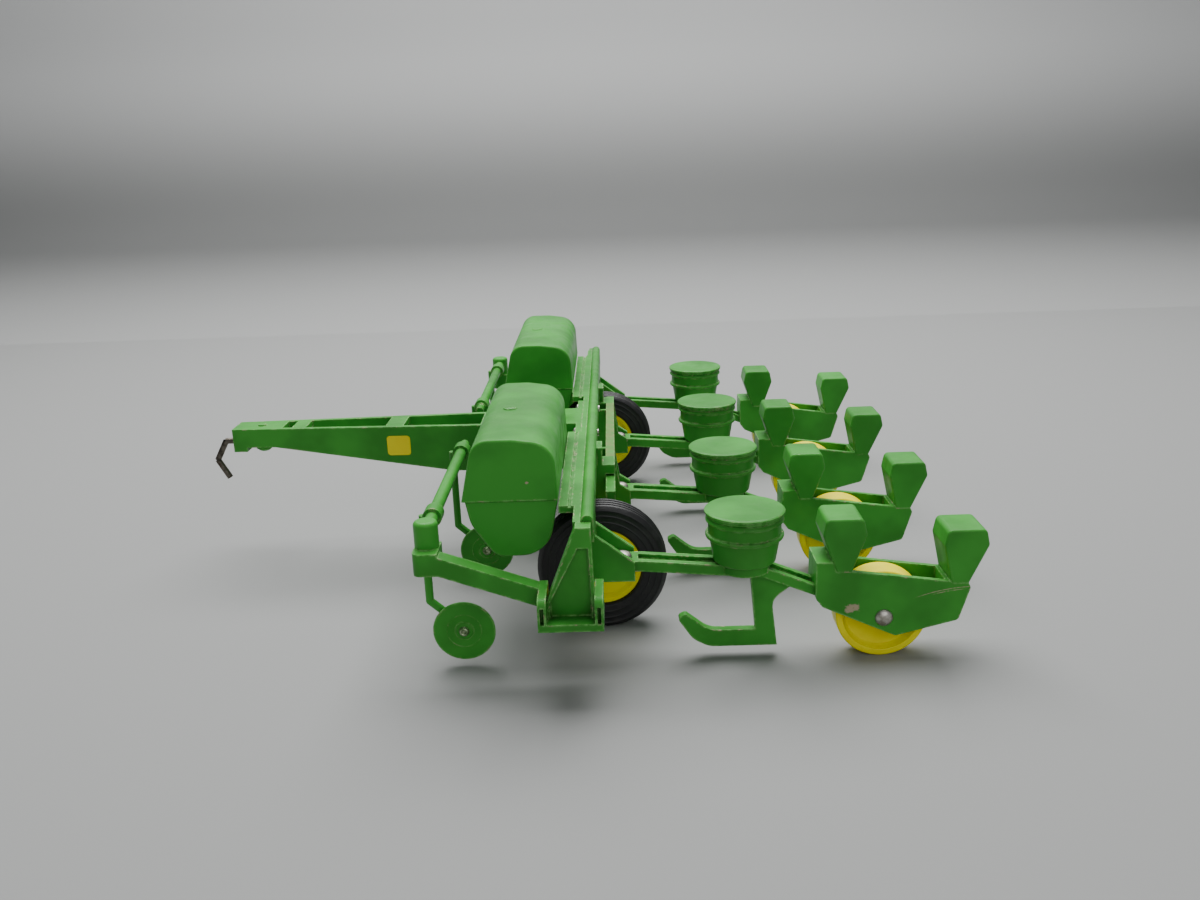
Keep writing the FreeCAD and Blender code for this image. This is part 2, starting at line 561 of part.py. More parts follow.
def add_corner(body, side):
    """The corner block, the post on it and the blind hole that takes the front bar."""
    front = "(corner_back + corner_length)"
    outer = "(clevis_inner + side_rail_width)"
    block = [("corner_back", f"{side} * corner_inner"), (front, f"{side} * corner_inner"),
             (front, f"{side} * {outer}"), ("corner_back", f"{side} * {outer}")]
    low = "side_rail_front"
    high = f"({low} + corner_depth)"
    prism(body, "corner_block", "XY", block, low, high, rounds={"corner_round": [1, 2]})
    bar(body, "corner_post", "XY", POST_FORWARD, f"{side} * {POST_OFFSET}", "post_radius", high,
        f"{high} + post_height")
    round_edges(body, "corner_post_round", "post_round",
                lambda edge: is_top_circle(edge, POST_TOP_VALUE))
    hole_end = f"{POST_OFFSET} + front_bar_seat / 2"
    bar(body, "front_bar_hole", "XZ", POST_FORWARD, "front_bar_height",
        "front_bar_radius + snug_gap", *side_span(side, "corner_inner", hole_end), cut=True)


POST_TOP_VALUE = SIZES["side_rail_front"] + SIZES["corner_depth"] + SIZES["post_height"]


def is_top_circle(edge, height):
    """True for a level round edge at the given height."""
    box = edge.BoundBox
    return (isinstance(edge.Curve, Part.Circle) and box.ZLength < 1e-6
            and abs(box.ZMax - height) < 1e-3)


def make_front_bar(side_name, side):
    """The round bar from the corner post to a thinner stub beside the tongue."""
    body = new_body(f"front_bar_{side_name}")
    spans = (("rod", "front_bar_radius", "front_bar_step", f"{POST_OFFSET} + front_bar_seat / 2"),
             ("stub", "front_stub_radius", "front_bar_end", "front_bar_step"))
    for part, radius, inner, outer in spans:
        bar(body, f"front_{part}", "XZ", POST_FORWARD, "front_bar_height", radius,
            *side_span(side, inner, outer))
    place(body)
    return body


# ---------------------------------------------------------------- disc openers
def make_disc_arm(row, offset):
    """A bent round arm: an eye on the front bar, a foot that carries the disc."""
    body = new_body(f"disc_arm_{row}")
    route = [(ROD_FORWARD, "front_bar_height"), (ROD_FORWARD, "disc_bend_height"),
             ("disc_forward", DISC_HEIGHT)]
    wire_rod(body, "arm", route, "disc_rod_radius", "XY")
    bar(body, "arm_eye", "XZ", POST_FORWARD, "front_bar_height", "disc_eye_radius",
        "-disc_eye_width / 2", "disc_eye_width / 2")
    bar(body, "arm_foot", "XZ", "disc_forward", DISC_HEIGHT, "disc_foot_radius",
        "-disc_rod_radius", "disc_rod_radius")
    bar(body, "arm_eye_bore", "XZ", POST_FORWARD, "front_bar_height",
        "front_bar_radius + snug_gap", "-disc_eye_width / 2", "disc_eye_width / 2", cut=True)
    bar(body, "arm_foot_bore", "XZ", "disc_forward", DISC_HEIGHT, "disc_rivet_radius + snug_gap",
        "-disc_rod_radius", "disc_rod_radius", cut=True)
    place(body, offset=offset)
    return body


def make_disc(row, side, offset):
    """A dished disc; its hollow side faces the arm."""
    body = new_body(f"disc_{row}")
    bore = "disc_rivet_radius + running_gap"
    corners = [(bore, "0"), ("disc_hub_radius", "0"), ("disc_radius", "disc_dish"),
               ("disc_radius", "disc_dish + disc_thickness / 2"),
               ("disc_hub_radius", "disc_thickness"),
               ("disc_hub_radius", "disc_thickness + disc_hub_step"),
               (bore, "disc_thickness + disc_hub_step")]
    turned(body, "disc_outline", "XY", corners)
    if side < 0:
        aim(body, (0, 0, 1), 180)
    place(body, "disc_forward", f"{offset} + {side} * (disc_rod_radius + running_gap * 2)",
          DISC_HEIGHT)
    return body


def make_disc_rivets():
    """The rivets that the discs turn on, with their domes outward."""
    length = "2 * disc_rod_radius + running_gap * 4 + disc_thickness + disc_hub_step"
    members = []
    for row, offset in ROW_OFFSETS.items():
        side = 1 if row < 3 else -1
        pin = rivet(f"disc_rivet_{row}", "disc_rivet_radius", length,
                    ("disc_rivet_head_radius", "disc_rivet_head_height"),
                    ("disc_rivet_head_radius", "disc_rivet_head_height / 2"))
        aim(pin, (1, 0, 0), -90 * side)
        place(pin, "disc_forward", f"{offset} - {side} * disc_rod_radius", DISC_HEIGHT)
        members.append(pin)
    return group("disc_rivets", members)


# ---------------------------------------------------------------- tongue and hook
def tongue_half(forward, inset="0"):
    """Half the tongue's width at a station, less an inset."""
    share = f"({forward} - {TONGUE_REAR}) / (tongue_nose - {TONGUE_REAR})"
    return (f"(tongue_rear_width / 2 + (tongue_nose_width - tongue_rear_width) / 2 * {share}"
            f" - {inset})")


def make_tongue():
    """The drawbar: two webs that close up to a solid nose, ties between them, rear flange."""
    body = new_body("tongue")
    nose_low = f"({TONGUE_TOP} - nose_depth)"
    step = f"({nose_low} + nose_step)"
    belly = f"({TONGUE_TOP} - tongue_belly_depth)"
    side_view = [(BEAM_FRONT, TONGUE_TOP), ("tongue_nose", TONGUE_TOP), ("tongue_nose", nose_low),
                 ("tongue_nose - nose_block", nose_low), ("tongue_nose - nose_block", step),
                 ("tongue_waist", step), ("tongue_belly", belly), ("tongue_heel", belly),
                 (BEAM_FRONT, f"{TONGUE_TOP} - tongue_rear_depth")]
    prism(body, "tongue_side", "XZ", side_view, "-tongue_rear_width / 2", "tongue_rear_width / 2")
    wide = "tongue_rear_width"
    for side_name, side in SIDES.items():
        waste = [(TONGUE_REAR, f"{side} * {tongue_half(TONGUE_REAR)}"),
                 ("tongue_nose + wheel_clearance",
                  f"{side} * {tongue_half('(tongue_nose + wheel_clearance)')}"),
                 ("tongue_nose + wheel_clearance", f"{side} * {wide}"),
                 (TONGUE_REAR, f"{side} * {wide}")]
        prism(body, f"tongue_taper_{side_name}", "XY", waste, belly, TONGUE_TOP, cut=True)
    cut_between_webs(body, "tongue_hollow", TONGUE_REAR, "nose_plate_end", belly,
                     f"{TONGUE_TOP} - tongue_plate")
    for number in (1, 2, 3):
        cut_between_webs(body, f"tongue_window_{number}", f"window_{number}_back",
                         f"window_{number}_front", belly, TONGUE_TOP)
    add_tongue_flange(body)
    add_tongue_nose(body, nose_low, step)
    place(body)
    return body


def cut_between_webs(body, name, rear, front, low, high):
    """Clear the space between the webs, from one station to another."""
    outline = [(rear, f"-{tongue_half(rear, 'tongue_web')}"),
               (front, f"-{tongue_half(front, 'tongue_web')}"),
               (front, tongue_half(front, "tongue_web")), (rear, tongue_half(rear, "tongue_web"))]
    prism(body, name, "XY", outline, low, high, cut=True)


def add_tongue_flange(body):
    """The cross plate that is riveted to the front of the beam."""
    plate = [("-tongue_flange_width / 2", BEAM_BOTTOM), ("tongue_flange_width / 2", BEAM_BOTTOM),
             ("tongue_flange_width / 2", TONGUE_TOP), ("-tongue_flange_width / 2", TONGUE_TOP)]
    prism(body, "tongue_flange_plate", "YZ", plate, BEAM_FRONT, TONGUE_REAR,
          rounds={"tongue_flange_round": [2, 3]})
    for side_name, side in SIDES.items():
        bar(body, f"tongue_flange_hole_{side_name}", "YZ", f"{side} * tongue_rivet_offset",
            RIVET_LEVEL, "tongue_rivet_radius + snug_gap", BEAM_FRONT, TONGUE_REAR, cut=True)


def add_tongue_nose(body, nose_low, step):
    """The rivet boss under the nose, its hole, and the blind hole that takes the hook."""
    bar(body, "nose_boss", "XY", "nose_boss_forward", "0", "nose_boss_radius", nose_low, step)
    bar(body, "nose_rivet_hole", "XY", "nose_boss_forward", "0", "hitch_rivet_radius + snug_gap",
        nose_low, TONGUE_TOP, cut=True)
    bar(body, "hook_hole", "YZ", "0", "hook_height", "hook_radius + snug_gap",
        "tongue_nose - hook_seat", "tongue_nose", cut=True)


def make_tongue_rivets():
    """The two rivets that hold the tongue's flange to the beam."""
    members = []
    for side_name, side in SIDES.items():
        pin = rivet(f"tongue_rivet_{side_name}", "tongue_rivet_radius",
                    "beam_width + tongue_flange",
                    ("tongue_rivet_head_radius", "tongue_rivet_head_height"),
                    ("tongue_rivet_head_radius", "tongue_rivet_head_height / 2"))
        aim(pin, (0, 1, 0), 90)
        place(pin, "beam_back", f"{side} * tongue_rivet_offset", RIVET_LEVEL)
        members.append(pin)
    return group("tongue_rivets", members)


def make_hitch_rivet():
    """The rivet through the nose, with its dome underneath."""
    pin = rivet("hitch_rivet", "hitch_rivet_radius", "nose_depth",
                ("hitch_rivet_head_radius", "hitch_rivet_head_height"),
                ("hitch_rivet_head_radius", "hitch_rivet_head_height / 3"))
    pin.Label = "hitch_rivet"
    aim(pin, (1, 0, 0), 180)
    place(pin, "nose_boss_forward", "0", TONGUE_TOP)
    return pin


def make_hook():
    """The bent wire hook at the front of the tongue."""
    body = new_body("hitch_hook")
    route = [("tongue_nose - hook_seat", "hook_height"), ("hook_bend_forward", "hook_height"),
             ("hook_reach", "hook_reach_height"), ("hook_end_forward", "hook_end_height")]
    wire_rod(body, "hook", route, "hook_radius", "YZ")
    place(body)
    return body


# ---------------------------------------------------------------- fertiliser hoppers
def make_hopper_lid(side_name, side):
    """The upper half of a hopper: a round-browed shell that is open below."""
    body = new_body(f"hopper_lid_{side_name}")
    top = f"({SEAM} + hopper_lid_height)"
    outline = [("hopper_back", SEAM), ("hopper_front", SEAM),
               ("hopper_front - hopper_brow_back", top), ("hopper_crown_forward", top),
               ("hopper_back + hopper_rear_lean", f"{top} - hopper_rear_fall")]
    start, end = side_span(side, "hopper_inner", "hopper_inner + hopper_length")
    prism(body, "lid_shape", "XZ", outline, start, end,
          rounds={"hopper_brow_round": [2], "hopper_crown_round": [4]})
    round_edges(body, "lid_ends", "hopper_end_round",
                lambda edge: is_end_edge(edge, SIZES["hopper_seam_rise"]))
    inner_top = f"({top} - hopper_wall)"
    cavity = [("hopper_back + hopper_wall", SEAM), ("hopper_front - hopper_wall", SEAM),
              ("hopper_front - hopper_brow_back - hopper_wall", inner_top),
              ("hopper_crown_forward", inner_top),
              ("hopper_back + hopper_rear_lean + hopper_wall", f"{inner_top} - hopper_rear_fall")]
    start, end = side_span(side, "hopper_inner + hopper_wall",
                           "hopper_inner + hopper_length - hopper_wall")
    prism(body, "lid_cavity", "XZ", cavity, start, end, cut=True,
          rounds={"hopper_brow_round - hopper_wall": [2],
                  "hopper_crown_round - hopper_wall": [4]})
    bolt = f"{side} * (hopper_inner + hopper_length / 2)"
    bar(body, "bolt_hole", "XY", "hopper_bolt_forward", bolt, "hopper_bolt_radius + snug_gap",
        SEAM, top, cut=True)
    place(body)
    return body


def make_hopper_body(side_name, side):
    """The lower half of a hopper: a tapering trough that is open above."""
    body = new_body(f"hopper_body_{side_name}")
    low = f"({SEAM} - hopper_body_depth)"
    belly = f"({low} + hopper_belly_rise)"
    outline = [("hopper_back", SEAM), ("hopper_heel_forward", low), ("hopper_toe_forward", low),
               ("hopper_belly_forward", belly), ("hopper_front - hopper_ledge", SEAM)]
    start, end = side_span(side, "hopper_inner + hopper_ledge",
                           "hopper_inner + hopper_length - hopper_ledge")
    prism(body, "trough_shape", "XZ", outline, start, end,
          rounds={"hopper_heel_round": [1], "hopper_toe_round": [2], "hopper_belly_round": [3]})
    floor = f"({low} + hopper_wall)"
    lean = "hopper_wall * 1.2"
    bend = "(hopper_heel_round - hopper_wall)"
    bend_forward = "((hopper_back + hopper_heel_forward) / 2 + hopper_heel_round)"
    bend_height = f"({low} + hopper_heel_round)"
    cavity = [("hopper_back + hopper_wall", SEAM), (f"{bend_forward} - {bend}", bend_height),
              (f"{bend_forward} - {bend} * 0.7", f"{bend_height} - {bend} * 0.7"),
              (bend_forward, floor), ("hopper_toe_forward - hopper_wall / 2", floor),
              (f"hopper_belly_forward - {lean}", belly),
              (f"hopper_front - hopper_ledge - {lean}", SEAM)]
    start, end = side_span(side, "hopper_inner + hopper_ledge + hopper_wall",
                           "hopper_inner + hopper_length - hopper_ledge - hopper_wall")
    prism(body, "trough_cavity", "XZ", cavity, start, end, cut=True)
    place(body)
    return body


def is_end_edge(edge, rise):
    """True for an edge of an end face that lies above the seam."""
    box = edge.BoundBox
    return box.YLength < 1e-6 and box.ZMax > SEAM_VALUE + rise


SEAM_VALUE = (2 * SIZES["tyre_radius"] + SIZES["wheel_clearance"] + SIZES["beam_depth"]
              + SIZES["hopper_seam_rise"])


def make_hopper_rivets():
    """One rivet in the roof of each hopper."""
    members = []
    roof = f"({SEAM} + hopper_lid_height)"
    for side_name, side in SIDES.items():
        pin = rivet(f"hopper_rivet_{side_name}", "hopper_bolt_radius", "hopper_wall",
                    ("hopper_bolt_head_radius", "hopper_bolt_head_height"),
                    ("hopper_bolt_head_radius", "hopper_bolt_head_height"))
        place(pin, "hopper_bolt_forward", f"{side} * (hopper_inner + hopper_length / 2)",
              f"{roof} - hopper_wall")
        members.append(pin)
    return group("hopper_rivets", members)


# ---------------------------------------------------------------- row units
def arm_middle(back):
    """Height of the middle of the arm's depth at a distance behind the pivot, front slope."""
    return (f"({ARM_BOTTOM} + arm_depth / 2 - arm_bend_fall * ({back} - arm_level)"
            " / (arm_bend - arm_level))")


def arm_tail_middle(back):
    """Height of the middle of the arm's depth at a distance behind the pivot, rear slope."""
    return (f"({ARM_BOTTOM} + arm_depth / 2 - arm_bend_fall"
            f" - (arm_end_fall - arm_bend_fall) * ({back} - arm_bend) / (arm_end - arm_bend))")


def make_row_arm(row, offset):
    """A grooved arm that falls to the rear, with the seed can's seat and the runner."""
    body = new_body(f"row_arm_{row}")
    top = [("arm_nose", ARM_TOP), ("-arm_level", ARM_TOP), ("-arm_bend", f"{ARM_TOP} - arm_bend_fall"),
           ("-arm_end", f"{ARM_TOP} - arm_end_fall")]
    under = [(back, f"{level} - arm_depth") for back, level in reversed(top)]
    prism(body, "arm_strip", "XZ", top + under, "-arm_width / 2", "arm_width / 2")
    groove_top = [("-arm_groove_start", ARM_TOP)] + top[1:]
    groove_low = [(back, f"{level} - arm_groove_depth") for back, level in reversed(groove_top)]
    prism(body, "arm_groove", "XZ", groove_top + groove_low, "-arm_groove_width / 2",
          "arm_groove_width / 2", cut=True)
    add_runner(body)
    bar(body, "can_seat", "XY", "-can_back", "0", "can_seat_radius",
        f"{CAN_FOOT} - can_seat_depth", CAN_FOOT)
    bar(body, "can_peg_hole", "XY", "-can_back", "0", "can_peg_radius + snug_gap",
        f"{CAN_FOOT} - can_peg_length", CAN_FOOT, cut=True)
    bar(body, "pivot_bore", "XY", "0", "0", "pivot_radius + running_gap", ARM_BOTTOM, ARM_TOP,
        cut=True)
    place(body, "-pivot_back", offset)
    return body


def add_runner(body):
    """The leg under the arm and the shoe that curves up in front of it."""
    ground = "runner_clearance"
    shoe_top = "(runner_clearance + runner_depth)"
    heel = "(leg_front + leg_width)"
    outline = [("-leg_front", arm_middle("leg_front")), ("-(leg_front + leg_rake)", shoe_top),
               ("-runner_front", shoe_top),
               ("-(runner_tip + runner_tip_width)", f"{ground} + runner_tip_rise"),
               ("-runner_tip", f"{ground} + runner_tip_rise - runner_tip_width / 2"),
               ("-runner_curve", f"{ground} + runner_curve_rise"), ("-runner_front", ground),
               (f"-({heel} + leg_rake)", ground), (f"-{heel}", "leg_heel_height"),
               (f"-({heel} + leg_web)", arm_tail_middle(f"({heel} + leg_web)"))]
    prism(body, "runner", "XZ", outline, "-runner_thickness / 2", "runner_thickness / 2",
          rounds={"runner_round": [2, 5, 6], "runner_tip_round": [3, 4], "leg_fillet": [8]})


def make_seed_can(row, offset):
    """A round seed can on a tapering foot, ribbed near its top and open above."""
    body = new_body(f"seed_can_{row}")
    ring = "can_cone_height + can_ring_height"
    ridge = f"{ring} + can_body_height"
    groove = f"{ridge} + can_ridge_height"
    upper = f"{groove} + can_groove_height"
    brim = f"{upper} + can_ridge_height"
    inner = "can_body_radius - can_wall"
    corners = [("0", "-can_peg_length"), ("can_peg_radius", "-can_peg_length"),
               ("can_peg_radius", "0"), ("can_foot_radius", "0"),
               ("can_cone_radius", "can_cone_height"), ("can_ring_radius", "can_cone_height"),
               ("can_ring_radius", ring), ("can_body_radius", ring), ("can_body_radius", ridge),
               ("can_ring_radius", ridge), ("can_ring_radius", groove),
               ("can_body_radius", groove), ("can_body_radius", upper),
               ("can_ring_radius", upper), ("can_ring_radius", brim), (inner, brim),
               (inner, ring), ("can_foot_radius - can_wall", "can_wall"), ("0", "can_wall")]
    turned(body, "can_outline", "XZ", corners)
    place(body, "-pivot_back - can_back", offset, CAN_FOOT)
    return body


CAN_BRIM = (f"({CAN_FOOT} + can_cone_height + can_ring_height + can_body_height"
            " + 2 * can_ridge_height + can_groove_height)")


def make_can_lid(row, offset):
    """A flat lid with an eased edge and a spigot that sits in the can."""
    body = new_body(f"can_lid_{row}")
    spigot = "can_body_radius - can_wall - running_gap"
    corners = [("0", "-can_spigot_depth"), (spigot, "-can_spigot_depth"), (spigot, "0"),
               ("can_lid_radius", "0"), ("can_lid_radius", "can_lid_height - can_lid_round"),
               ("can_lid_radius - can_lid_round", "can_lid_height"), ("0", "can_lid_height")]
    turned(body, "lid_outline", "XZ", corners)
    place(body, "-pivot_back - can_back", offset, CAN_BRIM)
    return body


def make_press_frame(row, offset):
    """Two side plates joined at front and rear, with a moulded box on each end."""
    body = new_body(f"press_frame_{row}")
    plates = [("-arm_end", "press_front_top"), ("-arm_end", "press_front_low"),
              ("-press_knee_back", "press_knee_height"), ("-press_keel_back", "press_keel_height"),
              ("-press_heel_back", "press_heel_height"), ("-press_tail_back", "press_tail_height"),
              ("-press_tail_top_back", "press_tail_top_height"),
              ("-press_sill_rear_back", "press_tail_top_height"),
              ("-press_sill_front_back", "press_sill_front_height"),
              ("-press_front_top_back", "press_front_top")]
    half = "press_frame_width / 2"
    prism(body, "press_plates", "XZ", plates, f"-{half}", half,
          rounds={"press_round": [1, 3, 4, 5, 9]})
    inside = f"({half} - press_plate)"
    front = "-(arm_end + press_front_wall)"
    cavity = [("-press_cavity_end", f"-{inside}"), (front, f"-{inside}"), (front, inside),
              ("-press_cavity_end", inside)]
    prism(body, "press_cavity", "XY", cavity, "0", "press_front_top", cut=True)
    block = [("-arm_end", "press_front_top"), ("-press_front_top_back", "press_front_top"),
             ("-press_block_back", "press_block_high"), ("-press_block_back", "press_block_low"),
             ("-press_block_front", "press_block_foot"), ("-arm_end - press_plate", "press_block_foot")]
    prism(body, "press_block", "XZ", block, f"-{inside}", inside)
    bar(body, "press_axle_hole", "XZ", "-press_axle_back", "press_wheel_radius",
        "press_axle_radius + snug_gap", f"-{half}", half, cut=True)
    for name in ("front", "rear"):
        add_box(body, name)
    place(body, "-pivot_back", offset)
    return body


def add_box(body, name):
    """A moulded box that flares upward from a narrow foot."""
    box = f"{name}_box"
    outline = [(f"-{box}_foot_front", f"{box}_foot"), (f"-{box}_front", f"{box}_waist"),
               (f"-{box}_top_front", f"{box}_top"), (f"-{box}_top_back", f"{box}_top"),
               (f"-{box}_back", f"{box}_waist"), (f"-{box}_foot_back", f"{box}_foot")]
    prism(body, box, "XZ", outline, "-box_width / 2", "box_width / 2",
          rounds={"box_round": [1, 2, 3, 4]})
    level = SIZES[f"{box}_foot"] + SIZES["box_round"] * 2
    round_edges(body, f"{box}_ends", "box_edge_round",
                lambda edge: is_box_end(edge, level, SIZES[f"{box}_front"] - 1e-3,
                                        SIZES[f"{box}_back"] + 1e-3))


def is_box_end(edge, level, front, back):
    """True for an edge of a box's end face, above the given level."""
    box = edge.BoundBox
    middle = (box.ZMin + box.ZMax) / 2
    return (box.YLength < 1e-6 and abs(abs(box.YMax) - SIZES["box_width"] / 2) < 1e-3
            and middle > level and -back < box.XMin and box.XMax < -front + 0.01)


def make_press_wheel(row, offset):
    """A moulded press wheel: flat tread, raised rims and a long hub."""
    body = new_body(f"press_wheel_{row}")
    bore = "press_axle_radius + running_gap"
    hub = "(press_frame_width / 2 - press_plate - press_side_gap)"
    inner = "press_wheel_radius - press_wheel_rim"
    half = [(bore, hub), ("press_hub_radius", hub), ("press_hub_radius", "press_wheel_web / 2"),
            (inner, "press_wheel_web / 2"), (inner, "press_wheel_width / 2"),
            ("press_wheel_radius", "press_wheel_width / 2")]
    other = [(radius, f"-({station})") for radius, station in reversed(half)]
    turned(body, "wheel_outline", "XY", half + other)
    place(body, "-pivot_back - press_axle_back", offset, "press_wheel_radius")
    return body


def make_press_axle(row, offset):
    """The rivet that a press wheel turns on, with its dome outward."""
    side = 1 if row < 3 else -1
    pin = rivet(f"press_axle_{row}", "press_axle_radius", "press_frame_width",
                ("press_head_radius", "press_head_height"),
                ("press_tail_radius", "press_tail_length"))
    pin.Label = f"press_axle_{row}"
    aim(pin, (1, 0, 0), -90 * side)
    place(pin, "-pivot_back - press_axle_back", f"{offset} - {side} * press_frame_width / 2",
          "press_wheel_radius")
    return pin


def make_row_pivot_rivets():
    """The upright rivets that the row arms swing on."""
    members = []
    for row, offset in ROW_OFFSETS.items():
        pin = rivet(f"row_pivot_rivet_{row}", "pivot_radius",
                    "bracket_floor + arm_depth + 2 * arm_gap",
                    ("pivot_head_radius", "pivot_head_height"),
                    ("pivot_head_radius", "pivot_tail_height"))
        place(pin, "-pivot_back", offset, FLOOR_BOTTOM)
        members.append(pin)
    return group("row_pivot_rivets", members)


# ---------------------------------------------------------------- building and export
def make_all():
    """Make every sub-part, in one list."""
    parts = [make_axle(), make_rear_beam(), make_tongue(), make_tongue_rivets(), make_hook(),
             make_hitch_rivet()]
    for side_name, side in SIDES.items():
        parts += [make_rim(side_name, side), make_tyre(side_name, side),
                  make_side_frame(side_name, side), make_front_bar(side_name, side),
                  make_hopper_body(side_name, side), make_hopper_lid(side_name, side)]
    for row, offset in ROW_OFFSETS.items():
        side = 1 if row < 3 else -1
        parts += [make_disc_arm(row, offset), make_disc(row, side, offset),
                  make_row_arm(row, offset), make_seed_can(row, offset),
                  make_can_lid(row, offset), make_press_frame(row, offset),
                  make_press_wheel(row, offset), make_press_axle(row, offset)]
    parts += [make_hopper_rivets(), make_disc_rivets(), make_row_pivot_rivets()]
    return parts


def check_and_export(parts):
    """Stop on any faulty object, then write one STEP file per sub-part."""
    faulty = [item.Name for item in doc.Objects
              if any(word in ("Invalid", "Error") for word in item.State)]
    if faulty:
        raise RuntimeError(f"faulty objects: {faulty}")
    os.makedirs("parts", exist_ok=True)
    for piece in parts:
        shape = piece.Shape
        if shape.isNull() or not shape.isValid() or not shape.Solids:
            raise RuntimeError(f"{piece.Label} has no sound shape")
        shape.exportStep(f"parts/{piece.Label}.step")


fill_sheet()
sub_parts = make_all()
doc.recompute()
check_and_export(sub_parts)
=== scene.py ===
"""Looks of a die-cast toy corn planter: enamel, plastic, rubber and rivets around its frame.

Every size is in millimetres until it reaches a mesh, where MM turns it into metres. Places
come from the frame: the boxes of its nodes and the axes of its joints.
"""
import json
import logging
import math
from dataclasses import dataclass
from enum import Enum

import bmesh
import bpy
from mathutils import Matrix, Vector


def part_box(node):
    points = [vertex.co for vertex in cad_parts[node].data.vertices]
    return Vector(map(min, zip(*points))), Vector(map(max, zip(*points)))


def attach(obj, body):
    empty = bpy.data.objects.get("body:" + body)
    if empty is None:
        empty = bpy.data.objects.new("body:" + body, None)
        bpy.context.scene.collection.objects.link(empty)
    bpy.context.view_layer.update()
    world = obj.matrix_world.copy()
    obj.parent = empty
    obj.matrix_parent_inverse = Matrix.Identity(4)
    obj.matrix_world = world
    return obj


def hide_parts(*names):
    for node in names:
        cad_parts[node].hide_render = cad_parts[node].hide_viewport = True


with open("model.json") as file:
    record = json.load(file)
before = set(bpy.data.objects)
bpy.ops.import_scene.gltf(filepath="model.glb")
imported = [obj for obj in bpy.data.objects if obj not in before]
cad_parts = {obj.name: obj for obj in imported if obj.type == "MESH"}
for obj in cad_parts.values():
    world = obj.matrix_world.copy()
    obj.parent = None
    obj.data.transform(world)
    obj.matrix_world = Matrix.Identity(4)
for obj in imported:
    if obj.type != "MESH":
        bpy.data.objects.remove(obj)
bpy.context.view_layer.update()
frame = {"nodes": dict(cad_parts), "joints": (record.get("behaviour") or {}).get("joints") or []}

MM = 0.001
MERGE = 1e-6
JOINTS = {joint["name"]: Vector(joint["pos_m"]) for joint in frame["joints"]}
log = logging.getLogger("planter")


class Side(Enum):
    """The two sides of the toy, with the sign of Y on each."""

    LEFT = 1
    RIGHT = -1

    @property
    def label(self) -> str:
        """The word that ends the names of this side's nodes."""
        return self.name.lower()


class Slot(Enum):
    """The record's material slots."""

    ENAMEL = "green_enamel"
    PLASTIC = "yellow_plastic"
    RUBBER = "tyre_rubber"
    RIVET = "rivet_steel"
    WIRE = "hook_steel"


# ---------------------------------------------------------------- colours and shader nodes
def linear(hex_colour: str) -> tuple[float, float, float, float]:
    """Turn an sRGB hex colour into linear values.

    Args:
        hex_colour: six hex digits, such as "1f7a2e".
    Returns:
        Red, green, blue and alpha, all linear.
    """
    levels = [int(hex_colour[start:start + 2], 16) / 255 for start in (0, 2, 4)]
    curved = [v / 12.92 if v <= 0.04045 else ((v + 0.055) / 1.055) ** 2.4 for v in levels]
    return (*curved, 1.0)


MULTIPLY = {"operation": "MULTIPLY"}
SUBTRACT = {"operation": "SUBTRACT"}
ADD = {"operation": "ADD", "use_clamp": True}
DISTANCE = {"operation": "DISTANCE"}
SMOOTH = {"interpolation_type": "SMOOTHSTEP"}
COLOUR = {"data_type": "RGBA"}
RISING = {3: 0.0, 4: 1.0}
FALLING = {3: 1.0, 4: 0.0}
Feed = bpy.types.Node | bpy.types.NodeSocket | float
Place = tuple[float, float, float]


def add_node(tree: bpy.types.NodeTree, kind: str, settings: dict | None = None,
             inputs: dict | None = None) -> bpy.types.Node:
    """Add a shader node, with its settings, fixed inputs and links.

    Args:
        tree: the material's node tree.
        kind: the end of the node's type, such as "TexNoise".
        settings: attributes of the node by name.
        inputs: input name or number, with a value, the socket that feeds it, or the node whose
            first output does.
    Returns:
        The new node.
    """
    made = tree.nodes.new(f"ShaderNode{kind}")
    for name, value in (settings or {}).items():
        setattr(made, name, value)
    for name, value in (inputs or {}).items():
        if isinstance(value, bpy.types.Node):
            value = value.outputs[0]
        if isinstance(value, bpy.types.NodeSocket):
            tree.links.new(value, made.inputs[name])
        else:
            made.inputs[name].default_value = value
    return made


def product(tree: bpy.types.NodeTree, *shares: Feed) -> Feed:
    """Where several masks meet.

    Args:
        tree: the material's node tree.
        shares: the masks and fixed shares, two or more.
    Returns:
        Their product.
    """
    kept = shares[0]
    for share in shares[1:]:
        kept = add_node(tree, "Math", MULTIPLY, {0: kept, 1: share})
    return kept


def layered(tree: bpy.types.NodeTree, base: str,
            layers: list[tuple[Feed, str]]) -> bpy.types.NodeSocket:
    """Lay colours over one another.

    Args:
        tree: the material's node tree.
        base: the lowest colour, in hex.
        layers: from the lowest up, the mask of each layer and its colour.
    Returns:
        The colour on top.
    """
    colour = linear(base)
    for mask, over in layers:
        colour = add_node(tree, "Mix", COLOUR, {0: mask, 6: colour, 7: linear(over)}).outputs[2]
    return colour


@dataclass(frozen=True)
class Cloud:
    """Cloudy noise whose blotches have a real size.

    low and high bound the stretch of the noise that shows, detail is how many finer layers lie
    on it, and rough is how strong they are.
    """

    grain_mm: float
    low: float = 0.0
    high: float = 1.0
    detail: float = 3.0
    rough: float = 0.55

    def noise(self, tree: bpy.types.NodeTree, place: bpy.types.NodeSocket) -> bpy.types.Node:
        """The bare noise, which lies around a half."""
        return add_node(tree, "TexNoise", {}, {"Vector": place, "Scale": 1 / (self.grain_mm * MM),
                        "Detail": self.detail, "Roughness": self.rough})

    def mask(self, tree: bpy.types.NodeTree, place: bpy.types.NodeSocket) -> bpy.types.Node:
        """The noise as a mask, which is 0 at low and 1 at high."""
        return add_node(tree, "MapRange", SMOOTH,
                        {0: self.noise(tree, place), 1: self.low, 2: self.high})


